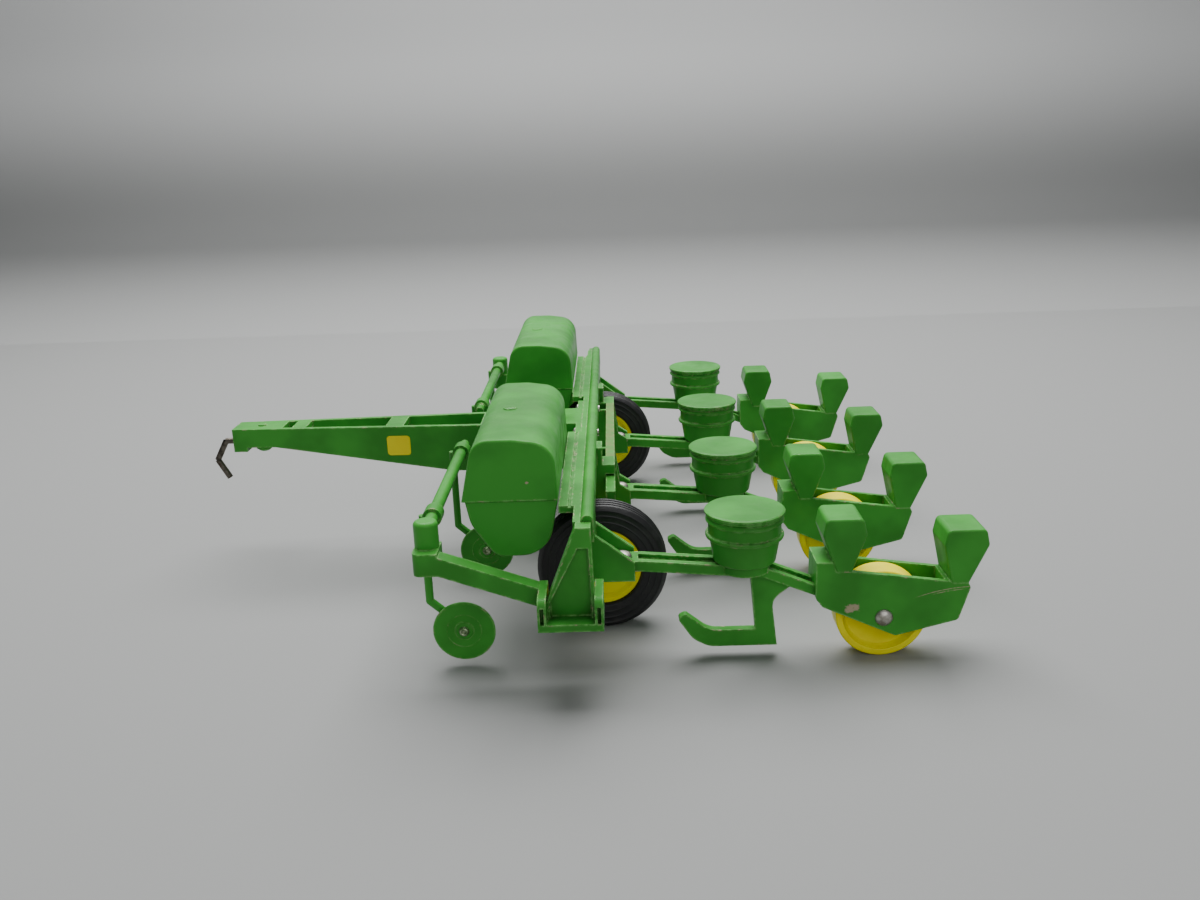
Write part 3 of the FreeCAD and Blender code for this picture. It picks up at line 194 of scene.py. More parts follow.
@dataclass(frozen=True)
class Relief:
    """A fine relief all over a surface."""

    grain_mm: float
    depth_mm: float
    strength: float
    detail: float = 3.0

    def normal(self, tree: bpy.types.NodeTree, place: bpy.types.NodeSocket) -> bpy.types.Node:
        """The normal that the relief gives the surface."""
        height = Cloud(self.grain_mm, detail=self.detail).noise(tree, place)
        return add_node(tree, "Bump", {}, {"Strength": self.strength, "Height": height,
                        "Distance": self.depth_mm * MM})


# ---------------------------------------------------------------- finishes
@dataclass(frozen=True)
class Finish:
    """A finish, which makes its material once and then hands it out."""

    name: str

    def material(self) -> bpy.types.Material:
        """Make the finish's material, or find it again.

        Returns:
            The material.
        """
        found = bpy.data.materials.get(self.name)
        if found:
            return found
        made = bpy.data.materials.new(self.name)
        made.use_nodes = True
        tree = made.node_tree
        tree.nodes.clear()
        place = add_node(tree, "TexCoord").outputs["Object"]
        shader = add_node(tree, "BsdfPrincipled", {}, self.surface(tree, place))
        add_node(tree, "OutputMaterial", {}, {"Surface": shader})
        return made

    def surface(self, tree: bpy.types.NodeTree, place: bpy.types.NodeSocket) -> dict[str, object]:
        """Work out the shader's inputs; each finish has its own way.

        Args:
            tree: the material's node tree.
            place: the coordinates that its patterns read, in metres.
        Returns:
            Values, sockets and nodes by the name of the input that they feed.
        """
        raise NotImplementedError


@dataclass(frozen=True)
class Scrape:
    """A thin arc scraped in the paint of a side plate.

    The arc lies in the plane of X and Z. middle is its circle's centre and reach the stretch
    of X that it covers, all in metres. core is the share of its width that is fully bare, and
    fade the share of its reach that each end takes to fade.
    """

    middle: Place
    radius: float
    reach: tuple[float, float]
    width: float = 0.00016
    core: float = 0.3
    fade: float = 0.25
    broken: Cloud = Cloud(0.9, 0.3, 0.6, 2.0)

    def mask(self, tree: bpy.types.NodeTree, place: bpy.types.NodeSocket) -> Feed:
        """Find the upper part of the arc, on the outer side of the plate.

        Args:
            tree: the material's node tree.
            place: the coordinates, in metres.
        Returns:
            1 on the scrape, fading at its ends.
        """
        x, y, z = self.middle
        level = add_node(tree, "VectorMath", MULTIPLY, {0: place, 1: (1.0, 0.0, 1.0)})
        offset = add_node(tree, "VectorMath", DISTANCE, {0: level, 1: (x, 0.0, z)}).outputs["Value"]
        away = add_node(tree, "Math", SUBTRACT, {0: offset, 1: self.radius})
        apart = add_node(tree, "Math", {"operation": "ABSOLUTE"}, {0: away})
        axes = add_node(tree, "SeparateXYZ", {}, {0: place}).outputs
        low, high = self.reach
        fade = (high - low) * self.fade
        line, begun, ending, upper, outer = (
            add_node(tree, "MapRange", SMOOTH, {0: value, 1: first, 2: last, **way})
            for value, first, last, way in (
                (apart, self.width * self.core, self.width, FALLING),
                (axes[0], low, low + fade, RISING), (axes[0], high - fade, high, FALLING),
                (axes[2], z, z + self.width, RISING), (axes[1], y, y + self.width, RISING)))
        return product(tree, line, product(tree, begun, ending), upper, outer,
                       self.broken.mask(tree, place))


@dataclass(frozen=True)
class Chip:
    """A ragged patch where the paint is knocked off, in metres.

    inner and outer are the shares of the radius between which the paint begins, and wander is
    how far the flakes shift that edge, as a share of the radius.
    """

    middle: Place
    radius: float
    inner: float = 0.62
    outer: float = 0.78
    wander: float = 2.4
    flakes: Cloud = Cloud(1.2, detail=8.0, rough=0.75)

    def mask(self, tree: bpy.types.NodeTree, place: bpy.types.NodeSocket) -> bpy.types.Node:
        """Find the patch.

        Args:
            tree: the material's node tree.
            place: the coordinates, in metres.
        Returns:
            1 inside the patch.
        """
        offset = add_node(tree, "VectorMath", DISTANCE, {0: place, 1: self.middle}).outputs["Value"]
        uneven = add_node(tree, "Math", SUBTRACT, {0: self.flakes.noise(tree, place), 1: 0.5})
        shifted = add_node(tree, "Math", ADD,
                           {0: offset, 1: product(tree, uneven, self.radius * self.wander)})
        return add_node(tree, "MapRange", SMOOTH, {0: shifted, 1: self.radius * self.inner,
                        2: self.radius * self.outer, **FALLING})


@dataclass(frozen=True)
class StoveEnamel(Finish):
    """Sprayed stoving enamel on die-cast zinc: glossy, faintly uneven, thin and worn on its edges
    with a painted highlight there, and painted shade in its hollows.
    """

    deep: str = "36852e"
    full: str = "429d39"
    # painted highlight: lighter green on the edges, also standing for thin worn paint
    thin: str = "93cf7c"
    # painted shade: dark green laid in the corners and seams, partly standing for dirt
    hollow: str = "1a3a10"
    zinc: str = "b5a98c"
    dust: str = "86a878"
    grime: str = "8a8258"
    wear: float = 0.75
    hollow_share: float = 0.85
    dust_share: float = 0.10
    grime_share: float = 0.62
    metal_share: float = 0.85
    edge_mm: float = 0.9
    edge_likeness: float = 0.90
    flat_likeness: float = 0.985
    hollow_mm: float = 5.0
    shut_in: float = 0.25
    open_air: float = 0.70
    tilted: float = 0.5
    level: float = 0.98
    smoothest: float = 0.29
    roughest: float = 0.50
    sheen: float = 0.12
    coat: float = 0.03
    coat_roughness: float = 0.14
    pit_mm: float = 0.04
    pit_strength: float = 0.16
    paint_mm: float = 0.06
    paint_strength: float = 0.5
    peel: Relief = Relief(1.1, 0.1, 0.18, 2.0)
    pits: Cloud = Cloud(0.5, 0.22, 0.30, 2.0)
    blotches: Cloud = Cloud(22.0, 0.35, 0.65)
    worn: Cloud = Cloud(2.4, 0.40, 0.62, 6.0, 0.7)
    specks: Cloud = Cloud(2.6, 0.57, 0.61, 6.0, 0.7)
    scuffs: Cloud = Cloud(6.0, 0.3, 0.75, 5.0)
    dirt: Cloud = Cloud(5.0, 0.2, 0.7, 5.0, 0.65)
    film: Cloud = Cloud(9.0, 0.35, 0.8, 6.0, 0.65)
    cake: Cloud = Cloud(4.0, 0.25, 0.7, 6.0, 0.7)
    scrapes: tuple[Scrape, ...] = ()
    chips: tuple[Chip, ...] = ()
    dusty_box: tuple[Place, Place] | None = None

    def surface(self, tree: bpy.types.NodeTree, place: bpy.types.NodeSocket) -> dict[str, object]:
        """Lay the paint, the painted shade in the hollows, the thin edges with their painted
        highlight, the bare spots and the dust.

        Args:
            tree: the material's node tree.
            place: the coordinates that its patterns read, in metres.
        Returns:
            The shader's inputs by name.
        """
        edge = self.edge_mask(tree)
        bare = self.bare_mask(tree, place, edge)
        layers = [(self.blotches.mask(tree, place), self.full),
                  # painted shade in the hollows, made patchy like dirt
                  (self.hollow_mask(tree, place), self.hollow),
                  # painted highlight on the edges, broken up like wear
                  (product(tree, edge, self.worn.mask(tree, place), self.wear), self.thin),
                  (bare, self.zinc), (self.film_mask(tree, place), self.dust)]
        if self.dusty_box:
            layers.append((self.cake_mask(tree, place), self.grime))
        dulled = add_node(tree, "Math", ADD, {0: self.scuffs.mask(tree, place), 1: bare})
        return {"Base Color": layered(tree, self.deep, layers),
                "Roughness": add_node(tree, "MapRange", {}, {0: dulled, 3: self.smoothest,
                                      4: self.roughest}),
                "Metallic": product(tree, bare, self.metal_share),
                "Normal": self.texture(tree, place, bare),
                "Specular IOR Level": self.sheen, "Coat Weight": self.coat,
                "Coat Roughness": self.coat_roughness}

    def edge_mask(self, tree: bpy.types.NodeTree) -> bpy.types.Node:
        """Find the outside edges, where sprayed paint runs thin and a lighter green is painted on
        as a highlight.

        Args:
            tree: the material's node tree.
        Returns:
            1 on edges and 0 on flats.
        """
        eased = add_node(tree, "Bevel", {"samples": 6}, {"Radius": self.edge_mm * MM})
        flat = add_node(tree, "NewGeometry").outputs["Normal"]
        likeness = add_node(tree, "VectorMath", {"operation": "DOT_PRODUCT"},
                            {0: eased, 1: flat}).outputs["Value"]
        return add_node(tree, "MapRange", SMOOTH, {0: likeness, 1: self.edge_likeness,
                        2: self.flat_likeness, **FALLING})

    def hollow_mask(self, tree: bpy.types.NodeTree, place: bpy.types.NodeSocket) -> Feed:
        """Paint shade into the corners and seams, made patchy like dirt.

        Args:
            tree: the material's node tree.
            place: the coordinates, in metres.
        Returns:
            The painted shade's share, patchy along them.
        """
        air = add_node(tree, "AmbientOcclusion", {"samples": 6},
                       {"Distance": self.hollow_mm * MM}).outputs["AO"]
        hidden = add_node(tree, "MapRange", SMOOTH,
                          {0: air, 1: self.shut_in, 2: self.open_air, **FALLING})
        return product(tree, hidden, self.dirt.mask(tree, place), self.hollow_share)

    def bare_mask(self, tree: bpy.types.NodeTree, place: bpy.types.NodeSocket,
                  edge: Feed) -> Feed:
        """Find where the metal shows: specks on edges, scrapes and chips.

        Args:
            tree: the material's node tree.
            place: the coordinates, in metres.
            edge: the mask of the edges.
        Returns:
            1 where the metal is bare.
        """
        bare = product(tree, edge, self.specks.mask(tree, place))
        for mark in self.scrapes + self.chips:
            bare = add_node(tree, "Math", ADD, {0: bare, 1: mark.mask(tree, place)})
        return bare

    def film_mask(self, tree: bpy.types.NodeTree, place: bpy.types.NodeSocket) -> Feed:
        """Find what faces up, where a thin film of dust lies.

        Args:
            tree: the material's node tree.
            place: the coordinates, in metres.
        Returns:
            The film's share.
        """
        facing = add_node(tree, "NewGeometry").outputs["Normal"]
        upward = add_node(tree, "SeparateXYZ", {}, {0: facing}).outputs[2]
        lying = add_node(tree, "MapRange", SMOOTH, {0: upward, 1: self.tilted, 2: self.level})
        return product(tree, lying, self.film.mask(tree, place), self.dust_share)

    def cake_mask(self, tree: bpy.types.NodeTree, place: bpy.types.NodeSocket) -> Feed:
        """Find the inside of dusty_box, where grime is caked.

        Args:
            tree: the material's node tree.
            place: the coordinates, in metres.
        Returns:
            The grime's share.
        """
        axes = add_node(tree, "SeparateXYZ", {}, {0: place}).outputs
        inside = [product(tree, add_node(tree, "Math", {"operation": "GREATER_THAN"},
                                         {0: axis, 1: low}),
                          add_node(tree, "Math", {"operation": "LESS_THAN"}, {0: axis, 1: high}))
                  for axis, low, high in zip(axes, *self.dusty_box)]
        return product(tree, *inside, self.cake.mask(tree, place), self.grime_share)

    def texture(self, tree: bpy.types.NodeTree, place: bpy.types.NodeSocket,
                bare: Feed) -> bpy.types.Node:
        """Orange peel in the paint, cast pits under it, and a step down to bare metal.

        Args:
            tree: the material's node tree.
            place: the coordinates, in metres.
            bare: the mask of the bare metal.
        Returns:
            The surface's normal.
        """
        pitted = add_node(tree, "Bump", {}, {"Strength": self.pit_strength,
                          "Distance": self.pit_mm * MM, "Height": self.pits.mask(tree, place),
                          "Normal": self.peel.normal(tree, place)})
        return add_node(tree, "Bump", {"invert": True}, {"Strength": self.paint_strength,
                        "Distance": self.paint_mm * MM, "Height": bare, "Normal": pitted})


@dataclass(frozen=True)
class MouldedPlastic(Finish):
    """Injection-moulded polystyrene: bright, waxy gloss, dulled and soiled in smears."""

    bright: str = "fff400"
    warm: str = "f8e600"
    soil: str = "8a6a18"
    soil_share: float = 0.35
    roughness: float = 0.34
    dulling: float = 0.2
    sheen: float = 0.22
    glow: float = 0.05
    glow_mm: float = 0.8
    drift: Cloud = Cloud(12.0, 0.35, 0.65)
    smears: Cloud = Cloud(5.0, 0.62, 0.85, 6.0, 0.7)
    flow: Relief = Relief(2.6, 0.1, 0.12)

    def surface(self, tree: bpy.types.NodeTree, place: bpy.types.NodeSocket) -> dict[str, object]:
        """A slow drift of colour, a little soil, and faint flow marks.

        Args:
            tree: the material's node tree.
            place: the coordinates that its patterns read, in metres.
        Returns:
            The shader's inputs by name.
        """
        soiled = self.smears.mask(tree, place)
        layers = [(self.drift.mask(tree, place), self.bright),
                  (product(tree, soiled, self.soil_share), self.soil)]
        return {"Base Color": layered(tree, self.warm, layers),
                "Roughness": add_node(tree, "MapRange", {}, {0: soiled, 3: self.roughness,
                                      4: self.roughness + self.dulling}),
                "Normal": self.flow.normal(tree, place), "Specular IOR Level": self.sheen,
                "Subsurface Weight": self.glow, "Subsurface Scale": self.glow_mm * MM}


@dataclass(frozen=True)
class TyreRubber(Finish):
    """Moulded black rubber: satin, greyed by dust on its ribs."""

    black: str = "141416"
    grey: str = "3b3a38"
    grey_share: float = 0.55
    roughness: float = 0.42
    dulling: float = 0.25
    bloom: Cloud = Cloud(4.5, 0.45, 0.8, 6.0, 0.7)
    grain: Relief = Relief(0.35, 0.05, 0.25, 2.0)

    def surface(self, tree: bpy.types.NodeTree, place: bpy.types.NodeSocket) -> dict[str, object]:
        """Black with a dusty bloom and a fine moulded grain.

        Args:
            tree: the material's node tree.
            place: the coordinates that its patterns read, in metres.
        Returns:
            The shader's inputs by name.
        """
        dusty = self.bloom.mask(tree, place)
        layers = [(product(tree, dusty, self.grey_share), self.grey)]
        return {"Base Color": layered(tree, self.black, layers),
                "Roughness": add_node(tree, "MapRange", {}, {0: dusty, 3: self.roughness,
                                      4: self.roughness + self.dulling}),
                "Normal": self.grain.normal(tree, place)}


@dataclass(frozen=True)
class WorkedSteel(Finish):
    """Steel that was headed or bent cold: dull shine, with handling marks and tarnish."""

    bright: str = "cfccc4"
    dull: str = "8f8a7e"
    tarnish: str = "5d4a33"
    stain: float = 0.3
    roughness: float = 0.3
    dulling: float = 0.2
    handling: Cloud = Cloud(1.8, 0.35, 0.7, 5.0)
    patches: Cloud = Cloud(2.6, 0.5, 0.75, 6.0, 0.7)
    hammering: Relief = Relief(0.9, 0.08, 0.3)

    def surface(self, tree: bpy.types.NodeTree, place: bpy.types.NodeSocket) -> dict[str, object]:
        """Metal with cloudy dulling, tarnish in patches and a slightly hammered face.

        Args:
            tree: the material's node tree.
            place: the coordinates that its patterns read, in metres.
        Returns:
            The shader's inputs by name.
        """
        handled = self.handling.mask(tree, place)
        layers = [(handled, self.dull),
                  (product(tree, self.patches.mask(tree, place), self.stain), self.tarnish)]
        return {"Base Color": layered(tree, self.bright, layers), "Metallic": 1.0,
                "Roughness": add_node(tree, "MapRange", {}, {0: handled, 3: self.roughness,
                                      4: self.roughness + self.dulling}),
                "Normal": self.hammering.normal(tree, place)}


@dataclass(frozen=True)
class StudioPaper(Finish):
    """Matt seamless backdrop paper, with painted light that brightens its wall."""

    tone: str = "929392"
    # painted light: the wall's colour brightens towards this tone as it rises
    wall_tone: str = "e4e5e4"
    wall_low: float = 0.03
    wall_high: float = 0.26
    roughness: float = 0.75
    tooth: Relief = Relief(1.5, 0.2, 0.05)

    def surface(self, tree: bpy.types.NodeTree, place: bpy.types.NodeSocket) -> dict[str, object]:
        """A pale tone with painted light that brightens it with height, and a fine tooth.

        Args:
            tree: the material's node tree.
            place: the coordinates that its patterns read, in metres.
        Returns:
            The shader's inputs by name.
        """
        height = add_node(tree, "SeparateXYZ", {}, {0: place}).outputs[2]
        # painted light: the colour lightens up the wall with height
        painted_light_rise = add_node(tree, "MapRange", SMOOTH, {0: height, 1: self.wall_low, 2: self.wall_high})
        return {"Base Color": layered(tree, self.tone, [(painted_light_rise, self.wall_tone)]),
                "Roughness": self.roughness, "Normal": self.tooth.normal(tree, place)}


ENAMEL = StoveEnamel("stove_enamel_green")
YELLOW = MouldedPlastic("moulded_plastic_yellow")
RUBBER = TyreRubber("tyre_rubber_black")
RIVET_METAL = WorkedSteel("headed_rivet_steel")
WORN_RIVET_METAL = WorkedSteel("half_painted_rivet_steel", bright="a9b795", dull="5f8350",
                               tarnish="2f5a24", stain=0.6, roughness=0.36)
WIRE_METAL = WorkedSteel("bent_wire_steel", bright="6b655c", dull="46413a", tarnish="4a3320",
                         stain=0.5, roughness=0.38)
DECAL = MouldedPlastic("plain_label_film", bright="fbe80c", warm="f6de08", roughness=0.42)


# ---------------------------------------------------------------- making and handing over
def new_piece(name: str, bm: bmesh.types.BMesh, edge_mm: float, turn_out: bool = True,
              smooth_deg: float = 32.0) -> bpy.types.Object:
    """Turn a bmesh into a piece with eased edges and smooth curves.

    Args:
        name: the piece's name.
        bm: the bmesh, which is freed.
        edge_mm: how far the sharp edges are eased.
        turn_out: whether the faces are turned outward again.
        smooth_deg: the angle above which an edge counts as sharp.
    Returns:
        The new object, at the origin.
    """
    bmesh.ops.remove_doubles(bm, verts=bm.verts, dist=MERGE)
    if turn_out:
        bmesh.ops.recalc_face_normals(bm, faces=bm.faces)
    for face in bm.faces:
        face.smooth = True
    mesh = bpy.data.meshes.new(name)
    bm.to_mesh(mesh)
    bm.free()
    mesh.set_sharp_from_angle(angle=math.radians(smooth_deg))
    piece = bpy.data.objects.new(name, mesh)
    bpy.context.scene.collection.objects.link(piece)
    eased = piece.modifiers.new("eased_edges", "BEVEL")
    eased.limit_method = "ANGLE"
    eased.angle_limit = math.radians(smooth_deg)
    eased.width = edge_mm * MM
    eased.segments = 3
    weighted = piece.modifiers.new("even_shading", "WEIGHTED_NORMAL")
    weighted.keep_sharp = True
    return piece


def cast_copy(node: str, edge_mm: float) -> bpy.types.Object:
    """A casting taken from its node, with flat faces joined and edges eased as a mould leaves them.

    Args:
        node: the frame's node.
        edge_mm: how far its edges are eased.
    Returns:
        The new piece.
    """
    bm = bmesh.new()
    bm.from_mesh(frame["nodes"][node].data)
    bmesh.ops.remove_doubles(bm, verts=bm.verts, dist=MERGE)
    bmesh.ops.dissolve_limit(bm, angle_limit=math.radians(0.6), use_dissolve_boundaries=False,
                             verts=bm.verts, edges=bm.edges, delimit=set())
    return new_piece(f"{node}_casting", bm, edge_mm, turn_out=False)


def lathe(bm: bmesh.types.BMesh, profile: list[tuple[float, float]], middle: Vector,
          axis: Vector, steps: int = 96) -> None:
    """Spin a profile into a round form.

    Args:
        bm: the bmesh that the form is added to.
        profile: radius and station along the axis, in millimetres, once round its section.
        middle: the point that stations are counted from, in metres.
        axis: the direction of the axis.
        steps: how many facets go round.
    """
    before = len(bm.verts)
    axis = axis.normalized()
    across = axis.orthogonal().normalized()
    corners = [bmesh.ops.create_vert(bm, co=middle + across * radius * MM + axis * along * MM)
               ["vert"][0] for radius, along in profile]
    closed = profile[0][0] > 0 or profile[-1][0] > 0
    pairs = list(zip(corners, corners[1:])) + ([(corners[-1], corners[0])] if closed else [])
    edges = [bm.edges.new(pair) for pair in pairs]
    bmesh.ops.spin(bm, geom=corners + edges, cent=middle, axis=axis, dvec=(0, 0, 0),
                   angle=2 * math.pi, space=Matrix.Identity(4), steps=steps, use_merge=True,
                   use_normal_flip=False, use_duplicate=False)
    bm.verts.ensure_lookup_table()
    bmesh.ops.remove_doubles(bm, verts=bm.verts[before:], dist=MERGE)


def hand_over(piece: bpy.types.Object, body: str, slot: Slot, finish: Finish,
              *nodes: str) -> bpy.types.Object:
    """Dress a finished piece and give it to the body that it moves with.

    Args:
        piece: the piece, in place.
        body: the body it rides on.
        slot: the record's slot.
        finish: its finish.
        nodes: the nodes that it stands for, if any.
    Returns:
        The same piece.
    """
    piece.data.materials.clear()
    piece.data.materials.append(finish.material())
    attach(piece, body)
    if nodes:
        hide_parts(*nodes)
    log.info("%s rides on %s", piece.name, body)
    return piece


def middle_of(node: str) -> Vector:
    """The middle of a node's box."""
    low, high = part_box(node)
    return (low + high) / 2


def size_of(node: str) -> Vector:
    """The size of a node's box, in millimetres."""
    low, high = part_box(node)
    return (high - low) / MM


def dome_profile(radius: float, height: float, start: float, shank: float,
                 tail: float, steps: int = 8) -> list[tuple[float, float]]:
    """The section of a rivet: a dome, a shank below it and a flat tail, on the axis at both ends.

    Args:
        radius: the dome's radius.
        height: the dome's height.
        start: the station of the dome's flat side.
        shank: the shank's radius.
        tail: the station where the shank ends.
        steps: how many points make the dome.
    Returns:
        Radius and station pairs.
    """
    turns = [math.pi / 2 * step / steps for step in range(steps + 1)]
    dome = [(radius * math.cos(turn), start + height * math.sin(turn)) for turn in turns]
    return [(0.0, tail), (shank, tail), (shank, start)] + dome[:-1] + [(0.0, start + height)]


# ---------------------------------------------------------------- frame and tongue
@dataclass
class CrossFrame:
    """The beam, the end castings and the front bars."""

    casting_edge: float = 0.3
    bar_edge: float = 0.25
    grime_right: float = 65.0
    grime_left: float = 4.6
    grime_back: float = 4.495
    grime_bottom: float = 10.6
    grime_top: float = 7.2

    def build(self) -> None:
        """Copy the castings and dress them; the rear rail is caked with dust."""
        beam = cast_copy("rear_beam", self.casting_edge)
        hand_over(beam, "frame", Slot.ENAMEL, self.beam_finish(), "rear_beam")
        for side in Side:
            for stem, edge in (("side_frame", self.casting_edge), ("front_bar", self.bar_edge)):
                node = f"{stem}_{side.label}"
                hand_over(cast_copy(node, edge), "frame", Slot.ENAMEL, ENAMEL, node)

    def beam_finish(self) -> StoveEnamel:
        """The beam's enamel, with grime on the rail between the struts.

        Returns:
            The finish.
        """
        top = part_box("rear_beam")[1].z
        pivot = JOINTS["row_2_swivel"]
        rail_low = (pivot.x, pivot.y - self.grime_right * MM, top - self.grime_bottom * MM)
        rail_high = (pivot.x + self.grime_back * MM, pivot.y + self.grime_left * MM,
                     top - self.grime_top * MM)
        return StoveEnamel("stove_enamel_green_beam", dusty_box=(rail_low, rail_high))


@dataclass
class Tongue:
    """The drawbar with its plain label, its hook and its rivets."""

    casting_edge: float = 0.35
    nose_width: float = 10.4
    rear_width: float = 20.8
    rear_flange: float = 2.0
    label_length: float = 8.2
    label_height: float = 7.0
    label_corner: float = 1.1
    label_skin: float = 0.12
    label_back: float = 59.0
    label_drop: float = 6.8

    def build(self) -> None:
        """Make the casting, the label, the hook and the rivets."""
        casting = cast_copy("tongue", self.casting_edge)
        hand_over(casting, "frame", Slot.ENAMEL, ENAMEL, "tongue")
        hand_over(self.label(), "frame", Slot.PLASTIC, DECAL)
        hook = cast_copy("hitch_hook", 0.12)
        hand_over(hook, "frame", Slot.WIRE, WIRE_METAL, "hitch_hook")
        hand_over(self.tongue_rivets(), "frame", Slot.RIVET, RIVET_METAL, "tongue_rivets")
        hand_over(self.nose_rivet(), "frame", Slot.ENAMEL, ENAMEL, "hitch_rivet")

    def label(self) -> bpy.types.Object:
        """A plain yellow film with round corners, on the left web.

        Returns:
            The label.
        """
        low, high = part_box("tongue")
        length = (high.x - low.x) / MM - self.rear_flange
        slope = (self.rear_width - self.nose_width) / 2 / length
        back = self.label_back
        bm = bmesh.new()
        bmesh.ops.create_grid(bm, x_segments=1, y_segments=1, size=0.5)
        bmesh.ops.scale(bm, vec=(self.label_length * MM, self.label_height * MM, 1),
                        verts=bm.verts)
        bmesh.ops.bevel(bm, geom=bm.verts, offset=self.label_corner * MM, segments=5,
                        profile=0.5, affect="VERTICES", offset_type="OFFSET", material=-1)
        film = bmesh.ops.extrude_face_region(bm, geom=bm.faces[:])
        raised = [item for item in film["geom"] if isinstance(item, bmesh.types.BMVert)]
        bmesh.ops.translate(bm, vec=(0, 0, self.label_skin * MM), verts=raised)
        turn = (Matrix.Rotation(-math.atan(slope), 4, "Z")
                @ Matrix.Rotation(math.radians(-90), 4, "X"))
        web_face = self.nose_width / 2 + slope * back
        place = Matrix.Translation((high.x - back * MM, (web_face + 0.01) * MM,
                                    high.z - self.label_drop * MM))
        bmesh.ops.transform(bm, matrix=place @ turn, verts=bm.verts)
        return new_piece("tongue_label_plain", bm, 0.03)

    def tongue_rivets(self) -> bpy.types.Object:
        """Domed rivets through the flange and the beam.

        Returns:
            The piece.
        """
        bm = bmesh.new()
        low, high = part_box("tongue_rivets")
        size = size_of("tongue_rivets")
        radius = size.z / 2
        for side in Side:
            edge = high.y if side is Side.LEFT else low.y
            middle = Vector((high.x, edge - side.value * radius * MM, (low.z + high.z) / 2))
            lathe(bm, dome_profile(radius, 1.0, -1.0, 1.2, -size.x), middle,
                  Vector((1, 0, 0)), 32)
        return new_piece("tongue_rivet_heads", bm, 0.08)

    def nose_rivet(self) -> bpy.types.Object:
        """The rivet through the nose, painted over, dome down.

        Returns:
            The piece.
        """
        bm = bmesh.new()
        size = size_of("hitch_rivet")
        low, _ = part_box("hitch_rivet")
        middle = middle_of("hitch_rivet")
        middle.z = low.z
        lathe(bm, dome_profile(size.x / 2, 1.2, -1.2, 1.4, -size.z), middle,
              Vector((0, 0, -1)), 40)
        return new_piece("nose_rivet_head", bm, 0.1)


# ---------------------------------------------------------------- hoppers
@dataclass
class Hopper:
    """One fertiliser hopper: trough and round-browed upper half; RoofRivets makes the rivet in its
    roof.
    """

    side: Side
    lid_edge: float = 0.35
    trough_edge: float = 0.5
    chip_back: float = 0.31
    chip_up: float = 0.30
    chip_radius: float = 0.55

    def build(self) -> None:
        """Copy the two halves."""
        label = self.side.label
        for stem, edge in (("hopper_lid", self.lid_edge), ("hopper_body", self.trough_edge)):
            node = f"{stem}_{label}"
            hand_over(cast_copy(node, edge), "frame", Slot.ENAMEL, self.finish(), node)

    def finish(self) -> StoveEnamel:
        """Hopper enamel, with a speck knocked out of the near hopper's end.

        Returns:
            The finish.
        """
        low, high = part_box("hopper_lid_left")
        speck = (low.x + self.chip_back * (high.x - low.x), high.y,
                 low.z + self.chip_up * (high.z - low.z))
        return StoveEnamel("stove_enamel_green_hopper",
                           chips=(Chip(speck, self.chip_radius * MM),))


@dataclass
class RoofRivets:
    """The painted rivets in the hopper roofs."""

    radius: float = 2.1
    height: float = 0.6

    def build(self) -> None:
        """Make both heads in one piece."""
        bm = bmesh.new()
        low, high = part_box("hopper_rivets")
        for side in Side:
            edge = high.y if side is Side.LEFT else low.y
            middle = Vector(((low.x + high.x) / 2, edge - side.value * self.radius * MM, high.z))
            tail = -(high.z - low.z) / MM
            lathe(bm, dome_profile(self.radius, self.height, -self.height, 1.1, tail), middle,
                  Vector((0, 0, 1)), 40)
        piece = new_piece("hopper_roof_rivets", bm, 0.06)
        hand_over(piece, "frame", Slot.RIVET, ENAMEL, "hopper_rivets")


